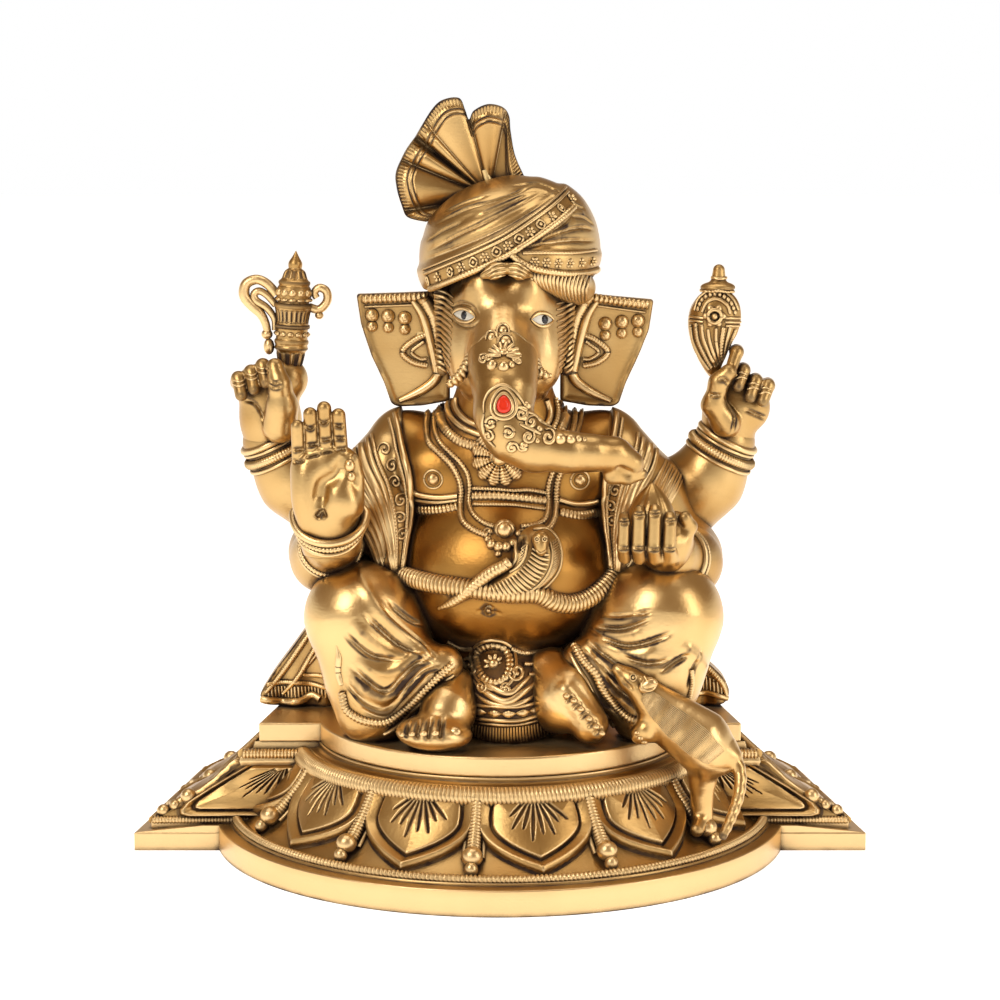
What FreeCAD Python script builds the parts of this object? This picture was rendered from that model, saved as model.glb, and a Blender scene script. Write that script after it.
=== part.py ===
"""Brass idol of a seated, four-armed, elephant-headed figure in a turban, on a lotus base with a mouse.

It is modelled as the castings and fasteners that it is fitted together from. Units are millimetres.
+X is the viewer's right, +Y is away from the viewer and +Z is up. The origin is the centre of the round
part of the base, on the surface that it stands on.
"""
import FreeCAD, Part
import math
import os
from FreeCAD import Vector

# ---- driving dimensions -------------------------------------------------------------------------
BASE_RADIUS = 125.0          # round part of the bottom plate
BASE_HALF_WIDTH = 159.0      # half the width over the two side arms of the bottom plate
ARM_FRONT = -27.0            # front and back faces of those arms
ARM_BACK = 60.0
SIDE_TAPER = math.tan(math.radians(9.0))   # the sides close in towards the back
PLATE_HEIGHT = 12.0
LEDGE_TOP = 15.0             # top of the small moulding on the plate
BAND_TOP = 41.0              # top of the sloping band of lotus petals
LOTUS_TOP = 46.0
SEAT_TOP = 54.5              # top of the smooth seat plate, which the figure sits on
SEAT_RADIUS = 80.0
SEAT_HALF_WIDTH = 105.0
SEAT_FRONT = -17.0
SEAT_BACK = 45.0
WALL = 4.5                   # thickness of the hollow castings

CENTRE_X = 3.0               # the figure sits a little to the viewer's right of the base's middle
DOWEL_RADIUS = 3.0           # for arms and legs
PIN_RADIUS = 1.8             # for hands, ears and small castings
UP = Vector(0, 0, 1)


# ---- small helpers ------------------------------------------------------------------------------
def vec(point):
    return Vector(*point)


def ellipsoid(centre, radii, turn=0.0, axis=(0, 1, 0)):
    """Ellipsoid at centre, turned by that many degrees about an axis through its middle."""
    ball = Part.makeSphere(1.0)
    scale = FreeCAD.Matrix()
    scale.scale(*radii)
    ball = ball.transformGeometry(scale)
    ball.rotate(Vector(0, 0, 0), vec(axis), turn)
    ball.translate(vec(centre))
    return ball


def fuse(shapes):
    whole = shapes[0] if len(shapes) == 1 else shapes[0].multiFuse(shapes[1:])
    return largest(whole.removeSplitter())


def largest(shape):
    """The largest solid of a shape, so that no sliver is left over from a cut."""
    return max(shape.Solids, key=lambda solid: solid.Volume)


def limb(stations):
    """Tapered round limb through stations of (x, y, z, radius)."""
    pieces = [Part.makeSphere(r, Vector(x, y, z)) for x, y, z, r in stations]
    for a, b in zip(stations, stations[1:]):
        start, end = Vector(*a[:3]), Vector(*b[:3])
        run = end - start
        if abs(a[3] - b[3]) < 0.05:
            pieces.append(Part.makeCylinder(0.985 * a[3], run.Length, start, run))
        else:
            pieces.append(Part.makeCone(0.985 * a[3], 0.985 * b[3], run.Length, start, run))
    return fuse(pieces)


def rod(start, end, radius):
    run = vec(end) - vec(start)
    return Part.makeCylinder(radius, run.Length, vec(start), run)


def slab(outline, y_front, y_back):
    """Flat casting whose outline of (x, z) points lies across the view, from y_front to y_back."""
    points = [Vector(x, y_front, z) for x, z in outline]
    face = Part.Face(Part.makePolygon(points + points[:1]))
    return face.extrude(Vector(0, y_back - y_front, 0))


def tube(points, radius):
    """Round bar through points, in straight runs joined by tangent arcs."""
    points = [vec(p) for p in points]
    edges, start = [], points[0]
    for before, corner, after in zip(points, points[1:], points[2:]):
        into, out = (corner - before).normalize(), (after - corner).normalize()
        half_turn = into.getAngle(out) / 2
        shorter = min(before.distanceToPoint(corner), corner.distanceToPoint(after))
        setback = 0.45 * shorter
        first, last = corner - into * setback, corner + out * setback
        bow = setback / math.tan(math.pi / 2 - half_turn)
        bisector = (out - into).normalize()
        middle = corner + bisector * (math.hypot(setback, setback / math.tan(half_turn)) -
                                      setback / math.tan(half_turn)) if bow > 1e-6 else corner
        edges.append(Part.LineSegment(start, first).toShape())
        edges.append(Part.Arc(first, middle, last).toShape())
        start = last
    edges.append(Part.LineSegment(start, points[-1]).toShape())
    path = Part.Wire(edges)
    profile = Part.Wire(Part.makeCircle(radius, points[0], points[1] - points[0]))
    return largest(path.makePipeShell([profile], True, False))


# ---- the base -----------------------------------------------------------------------------------
def arms_wire(half_width, front, back, z):
    """Four-cornered outline of the two side arms, which close in towards the back."""
    back_half = half_width - SIDE_TAPER * (back - front)
    corners = [(-half_width, front, z), (half_width, front, z), (back_half, back, z), (-back_half, back, z)]
    return Part.makePolygon([vec(corner) for corner in corners + corners[:1]])


def tier(inset, z_low, z_high, radius=BASE_RADIUS, half_width=BASE_HALF_WIDTH, front=ARM_FRONT, back=ARM_BACK):
    """Level slab, a disc with two side arms, with its outline drawn in by inset."""
    disc = Part.makeCylinder(radius - inset, z_high - z_low, Vector(0, 0, z_low))
    outline = arms_wire(half_width - inset, front + inset, back - inset, z_low)
    return disc.fuse(Part.Face(outline).extrude(Vector(0, 0, z_high - z_low))).removeSplitter()


def seat_tier(inset, z_low, z_high):
    return tier(inset, z_low, z_high, SEAT_RADIUS, SEAT_HALF_WIDTH, SEAT_FRONT, SEAT_BACK)


def band(inset, z_low, z_high):
    """Sloping band between the plate and the neck under the seat plate."""
    cone = Part.makeCone(118 - inset, 90 - inset, z_high - z_low, Vector(0, 0, z_low))
    low = arms_wire(150 - inset, -22 + inset, 55 - inset, z_low)
    high = arms_wire(113 - inset, -19 + inset, 47 - inset, z_high)
    return cone.fuse(Part.makeLoft([low, high], True, True)).removeSplitter()


SEAT_SCREW_PLACES = [(-74, 4), (74, 4), (-66, 44), (66, 44)]
FIGURE_BOLT_PLACES = [(CENTRE_X - 24, 30), (CENTRE_X + 24, 30), (CENTRE_X, -10)]
MOUSE_BOLT_PLACE = (85.0, -60.0)
MOUSE_BOLT_SEAT = 17.0       # height of the spot face under the mouse, inside the hollow base
BOSS_RADIUS = 5.5


def lotus_base():
    outside = fuse([tier(0, 0, PLATE_HEIGHT), tier(5, PLATE_HEIGHT, LEDGE_TOP), band(0, LEDGE_TOP, BAND_TOP),
                    seat_tier(-4, BAND_TOP, LOTUS_TOP)])
    inside = fuse([tier(WALL + 2, -1, PLATE_HEIGHT - 2), band(WALL + 2, PLATE_HEIGHT - 2, BAND_TOP - 2)])
    shell = outside.cut(inside)
    bosses = [Part.makeCylinder(BOSS_RADIUS, LOTUS_TOP - 28, Vector(x, y, 28)) for x, y in SEAT_SCREW_PLACES]
    shell = fuse([shell] + bosses)
    for x, y in SEAT_SCREW_PLACES:
        shell = shell.cut(Part.makeCylinder(2.5, 60, Vector(x, y, 0)))
    for x, y in FIGURE_BOLT_PLACES:
        shell = shell.cut(Part.makeCylinder(3.0, 60, Vector(x, y, 0)))
    x, y = MOUSE_BOLT_PLACE
    shell = shell.cut(Part.makeCylinder(BOSS_RADIUS, MOUSE_BOLT_SEAT, Vector(x, y, 0)))
    return largest(shell.cut(Part.makeCylinder(2.0, 60, Vector(x, y, 0))))


def seat_plate():
    plate = seat_tier(0, LOTUS_TOP, SEAT_TOP)
    pocket = seat_tier(7, LOTUS_TOP - 1, SEAT_TOP - 4)
    for x, y in FIGURE_BOLT_PLACES + SEAT_SCREW_PLACES:
        pocket = pocket.cut(Part.makeCylinder(8, 20, Vector(x, y, LOTUS_TOP - 5)))
    plate = plate.cut(pocket)
    for x, y in FIGURE_BOLT_PLACES:
        plate = plate.cut(Part.makeCylinder(3.0, 60, Vector(x, y, 0)))
    for x, y in SEAT_SCREW_PLACES:
        plate = plate.cut(Part.makeCylinder(2.5, LOTUS_TOP + 6, Vector(x, y, 0)))
    return largest(plate)


def bolt(x, y, z_head, z_tip, shank, head, head_height):
    """Hexagon-headed bolt pointing up, with its head under z_head."""
    corners = [Vector(x + head * math.cos(math.radians(60 * k)), y + head * math.sin(math.radians(60 * k)),
                      z_head - head_height) for k in range(7)]
    hexagon = Part.Face(Part.makePolygon(corners)).extrude(Vector(0, 0, head_height))
    return hexagon.fuse(Part.makeCylinder(shank, z_tip - z_head, Vector(x, y, z_head))).removeSplitter()


# ---- the figure ---------------------------------------------------------------------------------
BELLY = ((CENTRE_X, -4, 124), (52, 52, 40))
CHEST = ((CENTRE_X, 6, 164), (53, 37, 31))
HIPS = ((CENTRE_X - 1, 16, 80), (66, 42, 32))
APRON = ((CENTRE_X + 1, -28, 68), (22, 32, 27))          # the cloth that hangs between the feet
NECK = [(CENTRE_X, 2, 180, 27), (CENTRE_X - 1, -6, 200, 22)]


def torso_solid(grow=0.0):
    """Belly, chest, hips, and with no grow also neck and apron. A negative grow gives the hollow inside."""
    parts = [ellipsoid(centre, [r + grow for r in radii]) for centre, radii in (BELLY, CHEST, HIPS)]
    if grow == 0.0:
        parts += [limb(NECK), ellipsoid(*APRON)]
    whole = fuse(parts)
    below = Part.makeBox(400, 400, 200, Vector(-200, -200, SEAT_TOP - 200))
    return largest(whole.cut(below)) if grow == 0.0 else whole


def torso():
    shell = torso_solid().cut(torso_solid(-WALL))
    bosses = [Part.makeCylinder(7, 26, Vector(x, y, SEAT_TOP)) for x, y in FIGURE_BOLT_PLACES]
    shell = shell.multiFuse(bosses)
    for x, y in FIGURE_BOLT_PLACES:
        shell = shell.cut(Part.makeCylinder(3.0, 20, Vector(x, y, SEAT_TOP - 1)))
    return largest(shell)


def right_leg():
    """The figure's right leg, on the viewer's left: thigh, raised knee and the cloth down to the seat."""
    leg = limb([(-34, 18, 92, 27), (-50, -12, 102, 24), (-60, -36, 106, 22.5), (-59, -42, 84, 20),
                (-57, -44, 66, 19)])
    skirt = limb([(-59, -42, 76, 17), (-44, -50, 72, 13), (-32, -52, 76, 12)])
    core = limb([(-56, -24, 103, 17.5), (-59, -36, 104, 17), (-58, -42, 84, 14), (-57, -44, 50, 12)])
    return fuse([leg, skirt]).cut(core)


def left_leg():
    leg = limb([(38, 18, 92, 27), (54, -12, 102, 24), (69, -34, 106, 23.5), (67, -42, 84, 20),
                (65, -44, 66, 19)])
    skirt = limb([(66, -42, 78, 17), (52, -48, 80, 13), (40, -48, 84, 12)])
    core = limb([(61, -24, 103, 17.5), (68, -35, 104, 17), (66, -42, 84, 14), (65, -44, 50, 12)])
    return fuse([leg, skirt]).cut(core)


def right_foot():
    heel = limb([(-21, -50, 78, 12), (-24, -60, 68, 12), (-27, -68, 62, 8)])
    toes = [limb([(-27 + 2.6 * k, -66, 62, 5), (-29 + 4.6 * k, -75, 59.5, 4.2)]) for k in (-2, -1, 0, 1, 2)]
    return fuse([heel] + toes)


def left_foot():
    return limb([(24, -47, 92, 12), (30, -56, 80, 12), (36, -64, 70, 10), (42, -69, 62, 6.5)])


def lower_right_arm():
    arm = limb([(-44, 5, 175.5, 19.5), (-58, 5, 152, 18.6), (-76, 7, 126, 15), (-75, -20, 128, 13.5),
                (-71, -40, 138, 12)])
    shawl = limb([(-48, -5, 168, 14.5), (-49, -18, 146, 11), (-44, -27, 129, 8)])
    return fuse([arm, shawl])


def lower_left_arm():
    arm = limb([(49, 5, 175.5, 19.5), (62, 5, 152, 18.6), (80, 8, 124, 15), (80, -20, 126, 14), (72, -38, 132, 12)])
    shawl = limb([(53, -5, 168, 14.5), (54, -18, 146, 11), (48, -27, 129, 8)])
    return fuse([arm, shawl])


def upper_right_arm():
    return limb([(-40, 22, 158, 16), (-72, 18, 144, 17), (-90, 14, 158, 15), (-100, 12, 173, 13)])


def upper_left_arm():
    return limb([(46, 22, 158, 16), (76, 18, 146, 17), (91, 14, 160, 15), (99, 12, 175, 13)])


def raised_palm_hand():
    """The figure's lower right hand, held up with its open palm towards the viewer."""
    palm = ellipsoid((-71.5, -52, 156), (14.5, 8, 17))
    wrist = limb([(-71, -42, 141, 11), (-71.5, -48, 148, 11)])
    tips = ((-83, 184), (-77.5, 193), (-71, 195.5), (-64.5, 192))
    fingers = [limb([(-81.5 + 6.4 * k, -54, 168, 3.8), (x, -56, z, 3.4)]) for k, (x, z) in enumerate(tips)]
    thumb = limb([(-61.5, -55, 158, 4.4), (-59.5, -58, 174, 3.6)])
    return fuse([palm, wrist] + fingers + [thumb])


def giving_hand():
    """The figure's lower left hand, turned up and curled round the sweet."""
    palm = ellipsoid((66, -50, 133), (16, 11, 8.5))
    fingers = [limb([(54.5 + 7 * k, -58, 130, 4), (55 + 6.8 * k, -61, 142, 3.7), (56 + 6.4 * k, -58, 150, 3.3)])
               for k in range(4)]
    thumb = limb([(80, -48, 136, 4.6), (80.5, -50, 150, 4)])
    return fuse([palm] + fingers + [thumb])


def curled_hand(side):
    """Upper hand, holding a staff head between thumb and first finger. side is -1 or 1."""
    x = 102.0 * side
    palm = ellipsoid((x, 10, 187), (14, 8.5, 14), 12 * side)
    wrist = limb([(99.5 * side, 12, 174, 11.5), (x, 11, 182, 10.5)])
    curl = [limb([(side * (95.5 + 6.2 * k), 6, 200 - 1.6 * k, 3.6), (side * (95.5 + 6.2 * k), 0, 199 - 2.4 * k, 3.4),
                  (side * (95 + 6.2 * k), -1, 192 - 2.4 * k, 3.2)]) for k in range(4)]
    thumb = limb([(side * 91, 4, 184, 5), (side * 89.5, 1, 196, 4), (side * 90, 2, 203, 3.2)])
    finger = limb([(side * 97, 8, 199, 3.6), (side * 99.5, 9, 208, 3.2)])
    return fuse([palm, wrist, thumb, finger] + curl)


def goad():
    """Elephant goad's ornate head: fluted cup, domed crown, point, and a hook down one side."""
    cup = Part.makeCone(7.5, 11.5, 22, Vector(-91.5, 8, 206), UP)
    dome = Part.makeCone(10.5, 5, 22, Vector(-91.0, 8, 227), UP)
    point = Part.makeCone(4.5, 0.8, 10, Vector(-90.5, 8, 248), UP)
    hook = tube([(-99, 8, 229), (-106, 8, 246), (-111, 8, 240), (-108, 8, 226), (-103, 8, 214)], 3.2)
    scroll = Part.makeTorus(4.5, 2.6, Vector(-78, 8, 235), Vector(0, 1, 0))
    return fuse([cup, dome, point, hook, scroll])


def conch():
    shell = limb([(93, 8, 230, 10.8), (93, 8, 226, 10.8), (92, 8, 216, 7.0), (93.5, 8, 206, 3.0)])
    cap = Part.makeCone(8, 3, 7, Vector(94, 8, 238.5), UP)
    return fuse([shell, cap, Part.makeSphere(3.2, Vector(95, 8, 247))])


def modak():
    """Pointed sweet dumpling."""
    return fuse([Part.makeSphere(9.5, Vector(66, -47, 151.5)), Part.makeCone(8.6, 0.6, 14, Vector(66, -47, 155.5), UP)])


SKULL = ((CENTRE_X - 1, -10, 228), (27, 27, 32))
TURBAN = ((CENTRE_X + 2, 0, 262), (37.5, 36, 27.5))


def head():
    skull = ellipsoid(*SKULL)
    cheeks = ellipsoid((CENTRE_X - 1, -18, 212), (23, 20, 18))
    brow = limb([(-12, -24, 240, 11), (CENTRE_X - 1, -30, 226, 15), (17, -24, 240, 11)])
    return fuse([skull, cheeks, brow])


def head_core():
    """Hollow of the head, with its core hole in the crown under the turban."""
    centre, radii = SKULL
    return ellipsoid(centre, [r - WALL - 1 for r in radii]).fuse(Part.makeCylinder(11, 30, Vector(2, -10, 236)))


def trunk():
    return limb([(1, -34, 221, 16), (0, -52, 210, 14), (-1, -62, 199, 13), (5, -66, 189, 11.5), (22, -66, 182, 9.5),
                 (38, -64, 181, 7.5), (50, -61, 176, 7), (58, -58, 170, 5.5)])


def ear(side):
    """Flat ear, wide at the top with an outer point, and narrow below."""
    outline = [(25, 240), (64, 240.5), (60.5, 222), (52, 206), (47, 193.5), (36, 193), (27, 200), (24, 222)]
    return slab([(side * x + CENTRE_X / 2, z) for x, z in outline], 2, 9)


def tusk(side, length):
    """Short ringed tusk beside the trunk."""
    root, x = (side * 15 + CENTRE_X - 1, -36, 211), side * (15 + length) + CENTRE_X - 1
    return limb([(*root, 3.4), (x, -43, 205, 2.8)])


def turban():
    wound = ellipsoid(*TURBAN, -8)
    band_low = ellipsoid((CENTRE_X + 1, 0, 252), (36.5, 36, 15), -8)
    return fuse([wound, band_low])


def turban_core():
    centre, radii = TURBAN
    return ellipsoid(centre, [r - WALL for r in radii], -8)


def plume():
    """Pleated end of the turban cloth, spread up and to the viewer's left."""
    fan = [(12, 284), (22, 282), (9, 303), (8, 314), (2, 318), (-7, 316), (-11, 324), (-22, 325.5), (-28, 320),
           (-44, 294), (-45.5, 284), (-40, 272), (-31, 268), (-14, 276)]
    return slab(fan, 0, 16)


def snake_belt():
    """Cobra tied round the belly, with its hood at the front and its tail laid across."""
    ring = [(-46, 2, 131), (-44, -24, 127), (-28, -48, 122), (0, -60, 117), (26, -53, 113), (44, -32, 114),
            (51, -10, 121)]
    body = tube(ring, 4.6)
    hood = limb([(6, -60, 121, 5.5), (15, -62, 130, 7), (19, -60, 141, 6.5), (18, -61, 147, 4.6)])
    tail = limb([(2, -60, 131, 3.6), (-8, -63, 122, 3.6), (-22, -58, 112, 2.6)])
    return fuse([body, hood, tail])


def shawl_end(side, width, height):
    """Fringed end of the shawl, hanging behind the elbow down to the seat plate."""
    outer, inner = side * (75 + width), side * 66
    outline = [(inner, SEAT_TOP), (outer, SEAT_TOP), (outer - side * 2, SEAT_TOP + 8),
               (outer - side * 0.6 * width, SEAT_TOP + height), (inner, SEAT_TOP + height)]
    return slab(outline, 14, 34)


def mouse():
    """Mouse climbing the base, with its front paws on the seat plate and its nose at the knee."""
    body = limb([(51.5, -57, 85.5, 2.4), (58, -59, 80.5, 5), (65.5, -61, 75, 7.2), (75, -64, 68, 9.4),
                 (86, -66, 58, 11.3), (92, -66, 50, 10.6)])
    paws = limb([(68, -64, 66, 4.8), (62, -57, 60.5, 3.7), (58.5, -48, 57, 2.8)])
    hind_leg = limb([(86, -66, 48, 8.5), (84.5, -64, 38, 6), (81, -62, 33, 4)])
    foot = Part.makeCylinder(5, 28, Vector(*MOUSE_BOLT_PLACE, 22))
    tail = tube([(97, -67, 47), (102.5, -65, 40), (101.5, -65, 31), (96, -66, 24), (91, -67, 17)], 2.0)
    ears = [ellipsoid((66, -67, 80.5), (3.6, 2, 4.2), 30), ellipsoid((71.5, -57.5, 79), (3.6, 2, 4.2), 30)]
    return fuse([body, paws, hind_leg, foot, tail] + ears)


EYE_PLACES = [(-13.5, -37.2, 233.5), (17.5, -37.2, 232.5)]
JEWEL_PLACE = (1.5, -75.5, 200.5)


def eye_whites():
    return [ellipsoid(place, (5.4, 2.0, 2.0)) for place in EYE_PLACES]


def eye_pupils():
    return [rod((x, y - 2.4, z), (x, y - 0.8, z), 1.4) for x, y, z in EYE_PLACES]


def jewel():
    return ellipsoid(JEWEL_PLACE, (3.2, 2.2, 4.0))


# ---- dowels, which the builder of the real object hides inside its joints -------------------------
LIMB_DOWELS = [((-34, 5, 172), (-54, 4, 158)), ((40, 5, 172), (58, 4, 158)),
               ((-34, 20, 158), (-58, 20, 151)), ((42, 20, 158), (62, 20, 151)),
               ((-30, 10, 92), (-42, -3, 97)), ((36, 10, 92), (47, -3, 97)),
               ((-30, -30, 82), (-22, -48, 78)), ((34, -30, 88), (26, -46, 88))]
HAND_DOWELS = [((-72, -32, 134), (-71, -50, 149)), ((74, -30, 129), (67, -50, 134)),
               ((-97, 12.5, 169), (-101.5, 11, 183)), ((96.5, 12.5, 171), (101, 11, 183))]
SMALL_DOWELS = [((-93, 8, 196), (-92, 8, 214)), ((95, 8, 196), (93, 8, 212)), ((66, -48, 134), (66, -47, 152)),
                ((-22, 5, 222), (-36, 5.5, 222)), ((26, 5, 222), (39, 5.5, 222)),
                ((2, -31, 226), (1, -44, 215)), ((-3, 7, 282), (-6.5, 7, 293))]
NECK_SPIGOT = ((CENTRE_X - 1, -5, 193), (CENTRE_X - 1, -9, 210))
NECK_BORE = ((CENTRE_X - 1, -2, 180), (CENTRE_X - 1, -11, 219))


def seat_screws():
    return [bolt(x, y, 28, LOTUS_TOP + 5, 2.5, 4.6, 3.5) for x, y in SEAT_SCREW_PLACES]


def figure_bolts():
    return [bolt(x, y, BAND_TOP - 2, SEAT_TOP + 18, 3.0, 6.0, 4.5) for x, y in FIGURE_BOLT_PLACES]


# ---- fitting the castings together ----------------------------------------------------------------
def fit(shape, neighbours):
    """The shape with its neighbours taken out of it, so that they meet face to face."""
    for other in neighbours:
        if shape.BoundBox.intersect(other.BoundBox):
            shape = largest(shape.cut(other))
    return shape


def build():
    seat = seat_plate()
    body_outside = torso_solid()
    under = Part.makeBox(400, 400, 200, Vector(-200, -200, SEAT_TOP - 200))
    made = {"lotus_base": lotus_base(), "seat_plate": seat, "torso": torso()}
    cutters = [body_outside]

    def add(name, shape, grounded=False, core=None):
        shape = fit(shape, ([under] if grounded else []) + cutters)
        made[name] = largest(shape.cut(core)) if core else shape
        cutters.append(shape)

    add("snake_belt", snake_belt())
    add("right_leg", right_leg(), grounded=True)
    add("left_leg", left_leg(), grounded=True)
    add("right_foot", right_foot(), grounded=True)
    add("left_foot", left_foot(), grounded=True)
    add("lower_right_arm", lower_right_arm())
    add("lower_left_arm", lower_left_arm())
    add("upper_right_arm", upper_right_arm())
    add("upper_left_arm", upper_left_arm())
    add("raised_palm_hand", raised_palm_hand())
    add("giving_hand", giving_hand())
    add("modak", modak())
    add("upper_right_hand", curled_hand(-1))
    add("upper_left_hand", curled_hand(1))
    add("goad", goad())
    add("conch", conch())
    add("head", head(), core=head_core())
    add("trunk", trunk())
    add("right_ear", ear(-1))
    add("left_ear", ear(1))
    add("right_tusk", tusk(-1, 10))
    add("left_tusk", tusk(1, 5))
    add("turban", turban(), core=turban_core())
    add("turban_plume", plume())
    add("right_shawl_end", shawl_end(-1, 33, 40))
    add("left_shawl_end", shawl_end(1, 28, 20))
    base_block = tier(0, 0, PLATE_HEIGHT).multiFuse([tier(5, PLATE_HEIGHT, LEDGE_TOP), band(0, LEDGE_TOP, BAND_TOP),
                                                     seat_tier(-4, BAND_TOP, LOTUS_TOP), seat])
    made["mouse"] = fit(mouse(), [base_block] + cutters)

    inlay(made, "eye_whites", eye_whites(), ["head"])
    inlay(made, "eye_pupils", eye_pupils(), ["eye_whites", "head"])
    inlay(made, "trunk_jewel", [jewel()], ["trunk"])
    inlay(made, "limb_dowels", [rod(a, b, DOWEL_RADIUS) for a, b in LIMB_DOWELS])
    inlay(made, "hand_dowels", [rod(a, b, PIN_RADIUS) for a, b in HAND_DOWELS])
    inlay(made, "small_dowels", [rod(a, b, PIN_RADIUS) for a, b in SMALL_DOWELS])
    inlay(made, "neck_spigot", [rod(*NECK_SPIGOT, 7.0)])
    for name in ("torso", "neck_spigot", "head"):
        made[name] = largest(made[name].cut(rod(*NECK_BORE, 4.0)))
    inlay(made, "seat_screws", seat_screws())
    inlay(made, "figure_bolts", figure_bolts())
    x, y = MOUSE_BOLT_PLACE
    inlay(made, "mouse_bolt", [bolt(x, y, MOUSE_BOLT_SEAT, 42, 2.0, 3.8, 3.0)])
    return made


def inlay(made, name, solids, hosts=None):
    """Adds small solids as one node and sinks them into their hosts, or into everything they reach."""
    for host in hosts or [n for n in made]:
        shape = made[host]
        reached = [s for s in solids if shape.BoundBox.intersect(s.BoundBox)]
        if reached and shape.common(Part.makeCompound(reached)).Volume > 0.001:
            cut = shape.cut(Part.makeCompound(reached))
            whole = len(shape.Solids) > 1
            made[host] = Part.makeCompound(cut.Solids) if whole else largest(cut)
    made[name] = Part.makeCompound(solids) if len(solids) > 1 else solids[0]


def main():
    os.makedirs("parts", exist_ok=True)
    for name, shape in build().items():
        shape.exportStep(f"parts/{name}.step")
        print(f"{name:18s} solids {len(shape.Solids)}  volume {shape.Volume / 1000:8.2f} cm3  valid {shape.isValid()}")


main()
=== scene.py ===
"""Visual model of a brass idol: a seated elephant-headed figure in a turban on a lotus base, with a mouse.

Castings are sculpted as distance fields and meshed, and chased ornament is laid on them. Places are in
millimetres in the frame of the CAD model: +X is the viewer's right, +Y away, +Z up.
"""
import math
import bpy
import numpy as np
import openvdb as vdb
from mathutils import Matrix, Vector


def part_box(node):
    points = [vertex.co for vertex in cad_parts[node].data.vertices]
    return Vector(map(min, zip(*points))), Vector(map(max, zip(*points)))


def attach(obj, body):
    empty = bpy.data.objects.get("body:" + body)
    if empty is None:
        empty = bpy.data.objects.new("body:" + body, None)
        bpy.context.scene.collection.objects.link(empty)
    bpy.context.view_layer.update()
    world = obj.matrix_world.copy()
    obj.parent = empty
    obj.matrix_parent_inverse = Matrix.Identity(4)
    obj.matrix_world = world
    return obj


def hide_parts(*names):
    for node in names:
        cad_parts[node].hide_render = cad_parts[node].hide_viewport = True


MM = 0.001
TAU = 2 * math.pi
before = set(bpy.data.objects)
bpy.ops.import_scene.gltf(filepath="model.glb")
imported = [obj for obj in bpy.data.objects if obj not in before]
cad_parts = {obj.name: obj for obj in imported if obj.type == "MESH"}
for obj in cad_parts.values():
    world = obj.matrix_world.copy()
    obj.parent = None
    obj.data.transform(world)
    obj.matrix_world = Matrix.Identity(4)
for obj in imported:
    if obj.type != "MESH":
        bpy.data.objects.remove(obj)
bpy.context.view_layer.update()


# ---- places ------------------------------------------------------------------------------------------
def corners(node):
    """Lowest and highest corner of a CAD node, in millimetres."""
    low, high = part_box(node)
    return np.array(low) / MM, np.array(high) / MM


def middle(node):
    low, high = corners(node)
    return (low + high) / 2


# ---- distance fields: negative inside, in millimetres ------------------------------------------------
def length(x, y, z):
    return np.sqrt(x * x + y * y + z * z)


def ball(p, centre, radii, turn=0.0):
    """Ellipsoid, turned by that many degrees about the Y axis through its middle."""
    if np.isscalar(radii):
        return length(p[0] - centre[0], p[1] - centre[1], p[2] - centre[2]) - radii
    x, y, z = (p[i] - centre[i] for i in range(3))
    if turn:
        c, s = math.cos(math.radians(turn)), math.sin(math.radians(turn))
        x, z = c * x - s * z, s * x + c * z
    a, b, c = radii
    near = length(x / a, y / b, z / c)
    steep = length(x / a ** 2, y / b ** 2, z / c ** 2)
    return near * (near - 1) / np.maximum(steep, 1e-6)


def bar(p, a, b, ra, rb, flat=1.0):
    """Tapered round bar from a to b. A flat under 1 makes it thinner along Y."""
    a, b = np.asarray(a, float), np.asarray(b, float)
    run = b - a
    x, y, z = (p[i] - a[i] for i in range(3))
    along = np.clip((x * run[0] + y * run[1] + z * run[2]) / (run @ run), 0, 1)
    x, y, z = x - along * run[0], y - along * run[1], z - along * run[2]
    if flat != 1.0:
        y = y + y * (1 / flat - 1)
    return length(x, y, z) - (ra + along * (rb - ra))


def join(a, b, soft):
    """Union with a rounded valley."""
    h = np.maximum(soft - np.abs(a - b), 0) / soft
    return np.minimum(a, b) - h * h * soft / 4


def carve(a, b, soft):
    """a without b, with rounded edges."""
    return -join(-a, b, soft)


def limb(p, stations, soft=4.0):
    """Smooth limb through stations of (x, y, z, radius)."""
    whole = None
    for a, b in zip(stations, stations[1:]):
        piece = bar(p, a[:3], b[:3], a[3], b[3])
        whole = piece if whole is None else join(whole, piece, soft)
    return whole


# ---- meshing -----------------------------------------------------------------------------------------
class Shell:
    """Collects vertices in millimetres and faces of one piece."""

    def __init__(self):
        self.points, self.faces, self.count = [], [], 0
        self.patina_and_shade = []        # vertex numbers and how much darker each is made: patina in cut lines, painted shade on the apron

    def add(self, points, faces):
        self.points.append(np.asarray(points, np.float32).reshape(-1, 3))
        self.faces += [np.asarray(f, np.int64) + self.count for f in faces if len(f)]
        self.count += len(self.points[-1])

    def grid(self, rows, wrap_u=False, wrap_v=False, flip=False):
        """Skin over an array of points, rows by columns."""
        rows = np.asarray(rows, np.float32)
        n, m = rows.shape[:2]
        i = np.arange(n if wrap_u else n - 1)[:, None]
        j = np.arange(m if wrap_v else m - 1)[None, :]
        i2, j2 = (i + 1) % n, (j + 1) % m
        quads = np.stack([(i * m + j), (i2 * m + j), (i2 * m + j2), (i * m + j2)], -1).reshape(-1, 4)
        self.add(rows.reshape(-1, 3), [quads[:, ::-1] if flip else quads])


BLOCK = 8               # voxels along each side of a block
BLOCKS_AT_ONCE = 2500   # keeps the memory small
HALF_DIAGONAL = 0.87    # from the middle of a block to its corner, in block sides


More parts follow.
